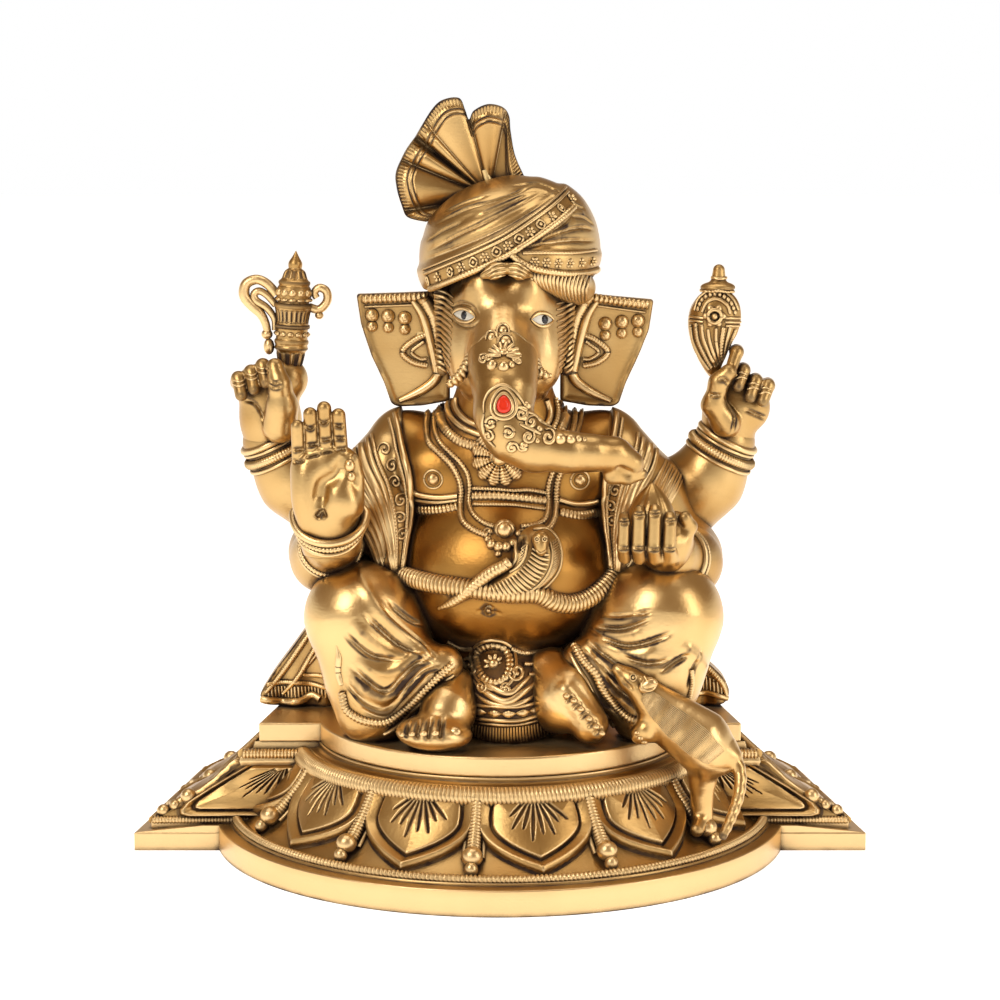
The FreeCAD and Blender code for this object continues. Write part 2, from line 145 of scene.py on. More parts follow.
def sculpt(shell, field, low, high, voxel):
    """Meshes a field into a shell. Only blocks near the surface are worked out finely."""
    low, high = np.asarray(low, float) - 2 * voxel, np.asarray(high, float) + 2 * voxel
    blocks = np.ceil((high - low) / (voxel * BLOCK)).astype(int)
    centres = [low[k] + (np.arange(blocks[k]) + 0.5) * BLOCK * voxel for k in range(3)]
    mesh = [g.ravel().astype(np.float32) for g in np.meshgrid(*centres, indexing="ij")]
    coarse = field(mesh)
    reach = BLOCK * voxel * HALF_DIAGONAL * 1.25 + 1.5
    whole = np.repeat(np.sign(coarse)[:, None] * 3 * voxel, BLOCK ** 3, axis=1).astype(np.float32)
    near = np.flatnonzero(np.abs(coarse) < reach)
    offsets = (np.arange(BLOCK) - (BLOCK - 1) / 2) * voxel
    dx, dy, dz = (g.ravel().astype(np.float32) for g in np.meshgrid(offsets, offsets, offsets, indexing="ij"))
    for start in range(0, len(near), BLOCKS_AT_ONCE):
        part = near[start:start + BLOCKS_AT_ONCE]
        p = [(mesh[k][part][:, None] + d[None, :]).ravel() for k, d in enumerate((dx, dy, dz))]
        whole[part] = np.clip(field(p), -3 * voxel, 3 * voxel).reshape(len(part), -1)
    nx, ny, nz = blocks
    whole = whole.reshape(nx, ny, nz, BLOCK, BLOCK, BLOCK).transpose(0, 3, 1, 4, 2, 5)
    whole = np.ascontiguousarray(whole.reshape(nx * BLOCK, ny * BLOCK, nz * BLOCK))
    volume = vdb.FloatGrid(3 * voxel)
    volume.copyFromArray(whole)
    points, quads = volume.convertToQuads(isovalue=0.0)
    shell.add(points * voxel + low + voxel / 2, [quads[:, ::-1]])


PROBE = 0.3             # half the distance over which a slope is measured


def gradient(field, points):
    """Unit slope of a field at each point."""
    p = [points[:, k] for k in range(3)]
    out = np.zeros_like(points)
    for k in range(3):
        up, down = list(p), list(p)
        up[k], down[k] = p[k] + PROBE, p[k] - PROBE
        out[:, k] = field(up) - field(down)
    return out / np.maximum(np.linalg.norm(out, axis=1), 1e-6)[:, None]


def smooth_line(points, spacing=1.0, closed=False):
    """Points at an even spacing along a smooth curve through the given ones."""
    points = np.asarray(points, float)
    if closed:
        padded = np.concatenate([points[-1:], points, points[:2]])
    else:
        padded = np.concatenate([points[:1], points, points[-1:]])
    t = np.linspace(0, 1, 24, endpoint=False)[:, None]
    out = []
    for a, b, c, d in zip(padded, padded[1:], padded[2:], padded[3:]):
        out.append(0.5 * (2 * b + (c - a) * t + (2 * a - 5 * b + 4 * c - d) * t ** 2
                          + (3 * b - a - 3 * c + d) * t ** 3))
    fine = np.concatenate(out + ([] if closed else [points[-1:]]))
    if closed:
        fine = np.concatenate([fine, fine[:1]])
    steps = np.linalg.norm(np.diff(fine, axis=0), axis=1)
    run = np.concatenate([[0], np.cumsum(steps)])
    count = max(int(round(run[-1] / spacing)), 2)
    marks = np.linspace(0, run[-1], count + 1)
    even = np.stack([np.interp(marks, run, fine[:, k]) for k in range(fine.shape[1])], -1)
    return even[:-1] if closed else even


def lay(field, points, lift=0.0):
    """Moves points onto the surface of a field, then off it by lift."""
    points = np.array(points, float)
    for _ in range(6):
        slope = gradient(field, points)
        distance = field([points[:, k] for k in range(3)])
        points -= slope * (distance - lift)[:, None]
    return points


FAR = 140.0             # further off than any part of the figure
MARCH_STEPS = 60


def seen_from(field, points, view=(0, 1, 0), lift=0.0):
    """Drops points onto a field along a view direction. One that misses stops level with the nearest hit."""
    points, view = np.array(points, float), np.array(view, float)
    points = points - view * FAR
    for _ in range(MARCH_STEPS):
        distance = field([points[:, k] for k in range(3)])
        points += view * (np.clip(distance, -1, 30) * 0.85)[:, None]
    hits = np.flatnonzero(field([points[:, k] for k in range(3)]) < 1.0)
    if len(hits):
        nearest = hits[np.abs(np.arange(len(points))[:, None] - hits).argmin(1)]
        points += view * ((points[nearest] - points) @ view)[:, None]
    return points - view * lift


def front_line(field, places, spacing=1.0, lift=0.0, closed=False):
    """Curve through (x, z) places, dropped onto a field from the front."""
    flat = smooth_line([(x, 0, z) for x, z in places], spacing, closed)
    return lay(field, seen_from(field, flat), lift)


def back_line(field, places, spacing=0.4, lift=0.2):
    """Curve through (x, z) places, dropped onto a field from behind."""
    flat = smooth_line([(x, 0, z) for x, z in places], spacing)
    return lay(field, seen_from(field, flat, (0, -1, 0)), lift)


# ---- chased ornament ---------------------------------------------------------------------------------
FRONT = (0, -1, 0)      # towards the viewer


def frames_along(points, closed=False, hint=(0, 0, 1)):
    """Tangent, side and up vectors along a line of points."""
    if closed:
        tangent = np.roll(points, -1, 0) - np.roll(points, 1, 0)
    else:
        tangent = np.gradient(points, axis=0)
    tangent /= np.maximum(np.linalg.norm(tangent, axis=1), 1e-9)[:, None]
    hint = np.broadcast_to(np.asarray(hint, float), tangent.shape)
    side = np.cross(tangent, hint)
    weak = np.linalg.norm(side, axis=1) < 0.1
    side[weak] = np.cross(tangent[weak], (0.3, 1, 0.1))
    side /= np.linalg.norm(side, axis=1)[:, None]
    return tangent, side, np.cross(side, tangent)


def rope(shell, points, radius, pitch=0.0, depth=0.25, twist=1.0, closed=False, hint=(0, 0, 1), flat=1.0,
         sides=10, taper=None):
    """Round moulding along a line, with slanted ribs at a pitch. A flat under 1 squashes it along hint."""
    points = np.asarray(points, float)
    _, side, up = frames_along(points, closed, hint)
    steps = np.linalg.norm(np.diff(points, axis=0), axis=1)
    run = np.concatenate([[0], np.cumsum(steps)])
    around = np.arange(sides) * TAU / sides
    size = np.full(len(points), float(radius)) if taper is None else radius * np.interp(
        np.linspace(0, 1, len(points)), np.linspace(0, 1, len(taper)), taper)
    swell = np.ones((len(points), sides))
    if pitch:
        turns = run[:, None] / pitch + twist * around[None, :] / TAU
        swell -= depth * (0.5 - 0.5 * np.cos(TAU * turns)) ** 2
    r = size[:, None] * swell
    ring = points[:, None] + (r * np.cos(around))[..., None] * side[:, None] \
        + (r * np.sin(around) * flat)[..., None] * up[:, None]
    shell.grid(ring, wrap_u=closed, wrap_v=True)
    if not closed:
        for end, order in ((0, 1), (len(points) - 1, -1)):
            shell.add(ring[end][::order], [np.arange(sides)[None, :]])


def pebble(shell, centre, radii, toward=None, spin=0.0, cols=12, rows=8):
    """Small ellipsoid. Its third radius lies along toward."""
    u = np.arange(cols) * TAU / cols
    v = np.linspace(0.02, math.pi - 0.02, rows)
    radii = np.broadcast_to(np.asarray(radii, float), (3,))
    local = np.stack([np.outer(np.sin(v), np.cos(u)) * radii[0], np.outer(np.sin(v), np.sin(u)) * radii[1],
                      np.outer(np.cos(v), np.ones(cols)) * radii[2]], -1)
    if toward is not None:
        local = local @ basis(toward, spin)
    shell.grid(local + np.asarray(centre, float), wrap_v=True)


def basis(toward, spin=0.0):
    """Rows are two directions across and the unit vector toward, spun about it."""
    w = np.asarray(toward, float) / np.linalg.norm(toward)
    u = np.cross((0, 0, 1) if abs(w[2]) < 0.9 else (0, 1, 0), w)
    u /= np.linalg.norm(u)
    v = np.cross(w, u)
    c, s = math.cos(spin), math.sin(spin)
    return np.array([c * u + s * v, c * v - s * u, w])


def rosette(shell, centre, toward, radius, petals=8, thick=0.35):
    """Flower of petals round a raised boss."""
    across = basis(toward)
    for k in range(petals):
        a = TAU * k / petals
        out = math.cos(a) * across[0] + math.sin(a) * across[1]
        wide = TAU * radius * 0.62 / petals * 0.5
        spot = np.asarray(centre) + out * radius * 0.62
        points = np.stack([spot + out * radius * 0.38 * s for s in (-1, -0.6, 0, 0.6, 1)])
        rope(shell, points, wide, hint=toward, flat=thick * radius / wide * 0.5,
             taper=(0.35, 0.8, 1, 0.85, 0.3))
    pebble(shell, np.asarray(centre) + across[2] * thick * radius * 0.3,
           (radius * 0.3, radius * 0.3, radius * 0.28), toward)


# ---- making a piece ----------------------------------------------------------------------------------
def neighbour_mean(values, edges, count):
    """Mean of each vertex's neighbours along the edges."""
    total = np.zeros_like(values)
    for k in range(values.shape[1]):
        total[:, k] = np.bincount(edges[:, 0], values[edges[:, 1], k], len(values)) \
            + np.bincount(edges[:, 1], values[edges[:, 0], k], len(values))
    return total / count


FULL_MARK = 0.11       # each full mark of patina in a cut line, and of painted shade on the apron, counts as a crease this deep, in millimetres


def hollow_depth(points, normals, edges, reach=3):
    """How deep each vertex lies in a crease, in millimetres, under the mean of its surroundings."""
    count = np.maximum(np.bincount(edges.ravel(), minlength=len(points)), 1)[:, None]
    smooth = points.astype(float)
    for _ in range(reach):
        smooth = neighbour_mean(smooth, edges, count) * 0.6 + smooth * 0.4
    depth = ((smooth - points) * normals).sum(1)
    for _ in range(2):
        depth = (neighbour_mean(depth[:, None], edges, count)[:, 0] + depth) / 2
    return depth


def piece(name, shell, material, slot, *nodes):
    """Turns a shell into a smooth mesh object that stands for CAD nodes."""
    points = np.concatenate(shell.points)
    mesh = bpy.data.meshes.new(name)
    mesh.vertices.add(len(points))
    mesh.vertices.foreach_set("co", (points * MM).astype(np.float32).ravel())
    loops = np.concatenate([f.ravel() for f in shell.faces])
    totals = np.concatenate([np.full(len(f), f.shape[1]) for f in shell.faces])
    mesh.loops.add(len(loops))
    mesh.loops.foreach_set("vertex_index", loops.astype(np.int32))
    mesh.polygons.add(len(totals))
    mesh.polygons.foreach_set("loop_start", np.concatenate([[0], np.cumsum(totals)[:-1]]).astype(np.int32))
    mesh.polygons.foreach_set("use_smooth", np.ones(len(totals), bool))
    mesh.update(calc_edges=True)
    mesh.validate()
    normals = np.zeros(len(mesh.vertices) * 3, np.float32)
    mesh.vertex_normals.foreach_get("vector", normals)
    edges = np.zeros(len(mesh.edges) * 2, np.int32)
    mesh.edges.foreach_get("vertices", edges)
    depth = hollow_depth(points, normals.reshape(-1, 3), edges.reshape(-1, 2))
    # patina in cut lines and painted shade on the apron deepen the crease value
    for stained, amount in shell.patina_and_shade:
        depth[stained] += FULL_MARK * amount
    mesh.attributes.new("crease", "FLOAT", "POINT").data.foreach_set("value", depth.astype(np.float32))
    mesh.materials.append(material)
    obj = bpy.data.objects.new(name, mesh)
    bpy.context.scene.collection.objects.link(obj)
    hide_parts(*nodes)
    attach(obj, "root")
    print(f"{name:20s} faces {len(totals)}")
    return obj


# ---- materials ---------------------------------------------------------------------------------------
PATINA = (0.034, 0.014, 0.005)
RUBBED = (0.86, 0.62, 0.31)
CREVICE = 0.0030        # metres within which patina, and painted shade, darken the brass beside a cord or a bead


def brass(name, polish, shade, patina, rough, marks, shade_reach):
    """Polished brass with dark patina left in creases and beside cords, and painted shade in recesses and where
    pieces meet.
    """
    material = bpy.data.materials.new(name)
    material.use_nodes = True
    tree = material.node_tree
    tree.nodes.clear()
    add, link = tree.nodes.new, tree.links.new
    out, surface = add("ShaderNodeOutputMaterial"), add("ShaderNodeBsdfPrincipled")
    link(surface.outputs[0], out.inputs[0])
    place = add("ShaderNodeTexCoord").outputs["Object"]

    def noise(scale, detail=3.0, stretch=None):
        node = add("ShaderNodeTexNoise")
        node.inputs["Scale"].default_value = scale
        node.inputs["Detail"].default_value = detail
        source = place
        if stretch:
            mapping = add("ShaderNodeMapping")
            mapping.inputs["Scale"].default_value = stretch
            link(place, mapping.inputs[0])
            source = mapping.outputs[0]
        link(source, node.inputs["Vector"])
        return node.outputs["Fac"]

    def ramp(value, low, high, to_low=0.0, to_high=1.0):
        node = add("ShaderNodeMapRange")
        node.interpolation_type = "SMOOTHSTEP"
        for socket, number in zip(("From Min", "From Max", "To Min", "To Max"), (low, high, to_low, to_high)):
            node.inputs[socket].default_value = number
        link(value, node.inputs["Value"])
        return node.outputs["Result"]

    def maths(operation, a, b):
        node = add("ShaderNodeMath")
        node.operation = operation
        node.use_clamp = operation == "ADD"
        for socket, value in zip(node.inputs, (a, b)):
            if isinstance(value, float):
                socket.default_value = value
            else:
                link(value, socket)
        return node.outputs[0]

    def mix(amount, a, b):
        node = add("ShaderNodeMix")
        node.data_type = "RGBA"
        link(amount, node.inputs["Factor"])
        for socket, value in ((node.inputs[6], a), (node.inputs[7], b)):
            if isinstance(value, tuple):
                socket.default_value = (*value, 1)
            else:
                link(value, socket)
        return node.outputs[2]

    crease = add("ShaderNodeAttribute")
    crease.attribute_name = "crease"
    # closed_in and crevice measure how shut in each point is; the darkening drawn from them is painted shade in
    # recesses and where pieces meet, and patina beside cords and beads
    closed_in = add("ShaderNodeAmbientOcclusion")
    closed_in.samples = 6
    closed_in.inputs["Distance"].default_value = shade_reach
    crevice = add("ShaderNodeAmbientOcclusion")
    crevice.samples = 6
    crevice.inputs["Distance"].default_value = CREVICE
    # hidden: painted shade from both occlusion measures, darkest in deep recesses and where pieces meet
    hidden = maths("ADD", ramp(closed_in.outputs["AO"], 0.50, 0.12), ramp(crevice.outputs["AO"], 0.84, 0.44))
    # groove: patina in cut lines and creases, and the painted shade added on the apron between the legs
    groove = ramp(crease.outputs["Fac"], 0.012, 0.10)
    patchy = ramp(noise(90.0, 4.0), 0.30, 0.70, 0.65, 1.15)
    dark = maths("MULTIPLY", maths("ADD", hidden, groove), patchy)
    tone = mix(ramp(noise(28.0, 2.0), 0.38, 0.70, 0.0, 0.7), polish, shade)
    # painted shade: the more a place is shut in, such as the belly between arms and knees, the more its colour
    # turns a darker brown
    painted_shade = ramp(closed_in.outputs["AO"], 0.97, 0.45)
    tone = mix(maths("MULTIPLY", painted_shade, 0.85), tone,
               tuple(0.62 * s + 0.38 * d for s, d in zip(shade, patina)))
    tone = mix(ramp(crease.outputs["Fac"], -0.02, -0.13, 0.0, 0.8), tone, RUBBED)
    link(mix(dark, tone, patina), surface.inputs["Base Color"])
    link(ramp(dark, 0.0, 1.0, 1.0, 0.35), surface.inputs["Metallic"])
    grain = maths("ADD", maths("MULTIPLY", noise(160.0, 4.0), 0.10), maths("MULTIPLY", dark, 0.32))
    link(maths("ADD", grain, rough), surface.inputs["Roughness"])
    pits = maths("ADD", maths("MULTIPLY", noise(700.0, 3.0), 0.6),
                 maths("MULTIPLY", noise(240.0, 2.0, (1.0, 1.0, 5.0)), 0.4))
    bump = add("ShaderNodeBump")
    bump.inputs["Strength"].default_value = marks
    bump.inputs["Distance"].default_value = 0.0004
    link(pits, bump.inputs["Height"])
    link(bump.outputs[0], surface.inputs["Normal"])
    return material


BASE_BRASS = brass("base brass", (0.66, 0.425, 0.165), (0.43, 0.23, 0.062), PATINA, 0.30, 0.35, 0.014)
# lighter copy of the figure brass for the face, legs, feet and mouse: painted light and reflection
PAINTED_LIGHT_BRASS = brass("brass with painted light", (0.82, 0.56, 0.25), (0.58, 0.34, 0.11), PATINA, 0.25, 0.28, 0.014)
FIGURE_BRASS = brass("figure brass", (0.64, 0.42, 0.17), (0.44, 0.24, 0.068), PATINA, 0.26, 0.28, 0.014)
# darker, browner copy of the figure brass for the torso: painted shade on the belly and chest
SHADED_BODY_BRASS = brass("shaded body brass", (0.46, 0.235, 0.055), (0.31, 0.135, 0.026), PATINA, 0.27, 0.28, 0.016)
ORNAMENT_BRASS = brass("ornament brass", (0.60, 0.38, 0.145), (0.40, 0.21, 0.052), PATINA, 0.30, 0.4, 0.008)


def glossy(name, colour, rough, metallic=0.0):
    """Plain enamel or glass."""
    material = bpy.data.materials.new(name)
    material.use_nodes = True
    surface = material.node_tree.nodes["Principled BSDF"]
    surface.inputs["Base Color"].default_value = (*colour, 1)
    surface.inputs["Roughness"].default_value = rough
    surface.inputs["Metallic"].default_value = metallic
    return material


EYE_WHITE = glossy("silvery enamel", (0.64, 0.60, 0.50), 0.34, 0.3)
EYE_BLACK = glossy("black enamel", (0.012, 0.011, 0.012), 0.22)
RED_GLASS = glossy("red glass", (0.72, 0.035, 0.012), 0.12)


# ---- the lotus base ----------------------------------------------------------------------------------
PETALS = 12                  # round the full ring
PETAL_SHIFT = math.radians(9)
PETAL_TIP = 112.5            # radius of the tips of the petals
RING_TOP = (86.0, 40.0)      # radius and height of the petal band's upper edge
RING_BEND = (97.0, 20.0)
RING_FOOT = (113.5, 12.4)
GRAIN = 0.5                  # size of the facets of the petal relief
VEINS = 8                    # cuts that fan over each petal


def band_profile(t):
    """Distance out and height of the bare band, from its top at t=0 to its foot at t=1."""
    return [(1 - t) ** 2 * a + 2 * t * (1 - t) * b + t * t * c
            for a, b, c in zip(RING_TOP, RING_BEND, RING_FOOT)]


def outline_distance(a, b, outline):
    """Signed distance to a closed outline in the plane of the band, positive inside it."""
    shape = a.shape
    a, b = a.ravel(), b.ravel()
    near, inside = np.full(a.shape, 1e9), np.zeros(a.shape, bool)
    for (x1, y1), (x2, y2) in zip(outline, np.roll(outline, -1, 0)):
        dx, dy = x2 - x1, y2 - y1
        t = np.clip(((a - x1) * dx + (b - y1) * dy) / max(dx * dx + dy * dy, 1e-9), 0, 1)
        near = np.minimum(near, np.hypot(a - x1 - t * dx, b - y1 - t * dy))
        if dy:
            inside ^= ((y1 > b) != (y2 > b)) & (a < x1 + (b - y1) * dx / dy)
    return np.where(inside, near, -near).reshape(shape)


def petal_height(a, b, outline, border=6.4):
    """Relief of one lotus petal: a sloping border, a deep line and a swelling blade with a fan of cuts."""
    e = outline_distance(a, b, outline)
    share = np.clip(e / border, 0, 1)
    roll = 4.3 * np.sqrt(np.clip(share * 3.2, 0, 1)) * (1 - 0.62 * share ** 1.4)
    roll = roll * (0.45 + 0.55 * np.clip((border - e) / 0.5, 0, 1))
    inside = e - border - 0.15
    blade = np.clip(inside / 0.7, 0, 1) * (2.3 + 2.4 * np.sqrt(np.clip(inside / 12, 0, 1)))
    height = np.maximum(roll, blade)
    for k in range(VEINS):
        off_centre = k - (VEINS - 1) / 2
        angle = off_centre * 1.7 / VEINS
        reach = 16.5 - 1.7 * abs(off_centre) + (3.0 if k % 2 else 0)
        ux, uy = math.sin(angle), math.cos(angle)
        along = a * ux + (b + 1) * uy
        off = np.abs(a * uy - (b + 1) * ux)
        width = 0.9 * np.sqrt(np.clip((along - 5.0) * (reach + 5.0 - along) / (reach * reach / 4), 0, 1))
        height = height - 1.6 * np.clip(1 - off / np.maximum(width, 1e-3), 0, 1) * (width > 0.05)
    return np.where(e > -0.2, height, 0)


def petal_outline(half, reach, start):
    """Ogee petal from (0, start) to a sharp point at (0, reach), half wide."""
    t = np.linspace(0, 1, 26)
    fall = np.clip((t - 0.42) / 0.58, 0, 1)
    wide = half * np.where(t < 0.42, 0.84 + 0.16 * np.sin(t / 0.42 * math.pi / 2), (1 - fall ** 2.1) ** 1.12)
    b = start + t * (reach - start)
    right = np.stack([wide, b], -1)
    return np.concatenate([right, (right * (-1, 1))[::-1][1:]])


def petal_ring(shell):
    """The sloping ring of petals, with a ribbed stem and a pair of beads between every two."""
    t = np.linspace(0, 1, 112)
    r, z = band_profile(t)
    down = np.concatenate([[0], np.cumsum(np.hypot(np.diff(r), np.diff(z)))])
    slope_r, slope_z = np.gradient(r), np.gradient(z)
    size = np.hypot(slope_r, slope_z)
    out_r, out_z = -slope_z / size, slope_r / size
    half = math.pi / PETALS
    angles = np.linspace(-half, half, 124, endpoint=False)
    a = angles[:, None] * r[None, :]
    b = np.broadcast_to(down, a.shape)
    tip = np.interp(PETAL_TIP, r, down)
    height = petal_height(a, b, petal_outline(half * 94.5, tip, -5.0))
    rows = []
    for k in range(PETALS):
        theta = (TAU * k / PETALS + PETAL_SHIFT + angles)[:, None]
        radius = r[None, :] + height * out_r[None, :]
        level = z[None, :] + height * out_z[None, :]
        rows.append(np.stack([radius * np.sin(theta), -radius * np.cos(theta), level], -1))
    shell.grid(np.concatenate(rows), wrap_u=True, flip=True)
    for k in range(PETALS):
        stem_between(shell, TAU * (k + 0.5) / PETALS + PETAL_SHIFT)


def stem_between(shell, theta):
    """Ribbed stem with an edge cord on each side, and the two beads at its foot."""
    def place(radius, level, turn=0.0):
        return np.array([radius * math.sin(theta + turn), -radius * math.cos(theta + turn), level])

    share = np.linspace(0, 1, 60)
    stem_r, stem_z = band_profile(share * 0.70)
    stem = np.stack([place(p + 2.0, q + 1.5) for p, q in zip(stem_r, stem_z)])
    rope(shell, smooth_line(stem, 0.3), 3.1, 1.5, 0.16, 0.0, taper=(0.72, 0.8, 0.92, 1.0), sides=16)
    for side in (-1, 1):
        edge = np.stack([place(p + 0.8, q + 0.4, side * (2.7 + 1.4 * f) / p)
                         for f, p, q in zip(share, stem_r, stem_z)])
        rope(shell, edge, 0.9)
    pebble(shell, place(107.6, 20.0), (4.4, 4.4, 4.2), cols=20, rows=14)
    pebble(shell, place(111.6, 15.8), (2.9, 2.9, 3.2), cols=16, rows=10)


def circle(radius, level, spacing=0.4):
    """Points round the base's axis."""
    n = int(TAU * radius / spacing)
    a = np.arange(n) * TAU / n
    return np.stack([radius * np.cos(a), radius * np.sin(a), np.full(n, level)], -1)


def turned(shell, profile, spacing=1.5):
    """Solid of revolution about the base's axis through (radius, height) points."""
    n = int(TAU * 100 / spacing)
    a = np.arange(n) * TAU / n
    rows = [np.stack([r * np.cos(a), r * np.sin(a), np.full(n, h)], -1) for r, h in profile]
    shell.grid(np.stack(rows), wrap_v=True, flip=True)


def bevelled(points, size=0.3):
    """Profile with a small chamfer at each corner, and a ring close beside it so that the flats shade flat."""
    points = np.asarray(points, float)
    out = [points[0]]
    for before, here, after in zip(points, points[1:], points[2:]):
        for other, shares in ((before, (2.2, 1.0)), (after, (1.0, 2.2))):
            run = np.linalg.norm(other - here)
            out += [here + (other - here) * min(size * share / run, 0.2 * share) for share in shares]
    return np.array(out + [points[-1]])


ARM_TAPER = math.tan(math.radians(9))       # how much the side arms narrow towards the back


def arm_tiers(shell, tiers):
    """Slabs that reach through the base to both sides. Tiers are (half width, front, back, level)."""
    rings = []
    for half, front, back, level in tiers:
        back_half = half - ARM_TAPER * (back - front)
        rings.append(np.array([(half, front, level), (back_half, back, level),
                               (-back_half, back, level), (-half, front, level)], float))
    levels = []
    for low, high in zip(rings, rings[1:]):
        share = min(0.5 / max(np.abs(high - low).max(), 1e-6), 0.3)
        levels += [low, low + (high - low) * share, high + (low - high) * share]
    rows = []
    for ring in levels + rings[-1:]:
        line = []
        for k in range(4):
            a, b = ring[k], ring[(k + 1) % 4]
            cut = min(0.35 / np.linalg.norm(b - a), 0.2)
            line += [a + (b - a) * share for share in (cut, 2.2 * cut, 1 - 2.2 * cut, 1 - cut)]
        rows.append(np.stack(line))
    shell.grid(np.stack(rows), wrap_v=True, flip=True)


def straight_rope(shell, points, radius, pitch, depth=0.25, spacing=0.35):
    """Ropes along the straight lines from each point to the next."""
    for a, b in zip(points, points[1:]):
        a, b = np.asarray(a, float), np.asarray(b, float)
        count = int(np.linalg.norm(b - a) / spacing)
        rope(shell, a + (b - a) * np.linspace(0, 1, count)[:, None], radius, pitch, depth, 0.0)


def face_petals(shell, top, foot, count):
    """Row of square-tipped petals on a flat sloping face between two straight edges."""
    top, foot = np.asarray(top, float), np.asarray(foot, float)
    wide = max(np.linalg.norm(top[1] - top[0]), np.linalg.norm(foot[1] - foot[0]))
    deep = np.linalg.norm((foot[0] + foot[1] - top[0] - top[1]) / 2)
    nu, nv = int(wide / GRAIN), int(deep / GRAIN) + 8
    u, v = np.linspace(0, 1, nu)[:, None], np.linspace(0, 1, nv)[None, :]
    surface = ((1 - u)[..., None] * top[0] + u[..., None] * top[1]) * (1 - v)[..., None] \
        + ((1 - u)[..., None] * foot[0] + u[..., None] * foot[1]) * v[..., None]
    normal = np.cross(foot[0] - top[0], top[1] - top[0])
    normal /= np.linalg.norm(normal)
    cell = wide / count
    a = (u * wide) % cell - cell / 2 + 0 * v
    b = v * deep + 0 * u
    t = np.linspace(0, 1, 12)
    half = cell / 2 - 1.2
    side = half * (0.86 + 0.14 * np.sin(t * math.pi / 2))
    foot_line = [(half - 2.2, deep - 5.0), (half - 5.5, deep - 2.0), (half - 10, deep - 0.6),
                 (10 - half, deep - 0.6), (5.5 - half, deep - 2.0), (2.2 - half, deep - 5.0)]
    outline = np.concatenate([np.stack([side, -5 + t * (deep - 4.5)], -1), foot_line,
                              np.stack([-side, -5 + t * (deep - 4.5)], -1)[::-1]])
    height = petal_height(a, b, outline, 4.4) * np.clip(v * 12, 0, 1)
    bow = 2.5 * np.sin(v * math.pi) ** 2
    shell.grid(surface + (height - bow)[..., None] * normal, flip=True)


REAR_SCREW = (66.0, 44.0)       # how far out and back the rear screws of the seat plate stand
SCREW_BOSS = 5.2                # radius of the metal round each


def screw_bosses(shell, low, high):
    """Round posts at the back of the base and the seat plate, which the rear screws run in."""
    for side in (-1, 1):
        place = (side * REAR_SCREW[0], REAR_SCREW[1], low)
        lathe(shell, place, (0, 0, 1), [(0, 0.1), (0.3, SCREW_BOSS), (high - low - 0.6, SCREW_BOSS),
                                        (high - low, 0.1)])


ARM_FRONT, ARM_BACK = -27.0, 60.0       # where the side arms start and end
RIM, LIP = 11.0, 8.0                    # height of the round rim and of the arms' outer edge
ARM_STEP = 7.0                          # how far the second tier of an arm stands back
FACE_TOP, FACE_FOOT = 37.0, 13.5        # height of the upper and lower edge of the petals on the arms
TOP_HALF, FOOT_HALF = 112.0, 148.0      # how far out those edges are


def arm_petals(shell, side):
    """Petals on the front, back and end of one side arm, and the beads at the end."""
    for face_front in (True, False):
        y_top, y_foot = (-19.0, -21.5) if face_front else (47.0, 54.5)
        shrink = 0.0 if face_front else ARM_TAPER * 70
        outer_top = (side * (TOP_HALF - shrink), y_top, FACE_TOP)
        outer_foot = (side * (FOOT_HALF - shrink), y_foot, FACE_FOOT)
        inner_top, inner_foot = (side * 74, y_top, FACE_TOP), (side * 92, y_foot, FACE_FOOT)
        outward = (side > 0) == face_front
        top_edge = (inner_top, outer_top) if outward else (outer_top, inner_top)
        foot_edge = (inner_foot, outer_foot) if outward else (outer_foot, inner_foot)
        face_petals(shell, top_edge, foot_edge, 1)
    ends = [(side * TOP_HALF, -19.0, FACE_TOP), (side * (TOP_HALF - ARM_TAPER * 66), 47.0, FACE_TOP)]
    feet = [(side * FOOT_HALF, -21.5, FACE_FOOT), (side * (FOOT_HALF - ARM_TAPER * 76), 54.5, FACE_FOOT)]
    if side < 0:
        ends, feet = ends[::-1], feet[::-1]
    face_petals(shell, ends, feet, 2)
    arm_tiers(shell, [(60, -16, 44, 14), (110, -16, 44, 37)])
    for y, shift in ((-18.5, 0), (16.0, 6), (50.0, 12)):
        for out, level, size in ((136, 22, 3.6), (142, 18, 2.6), (147, 15.5, 3.0)):
            pebble(shell, (side * (out - shift), y, level), size)


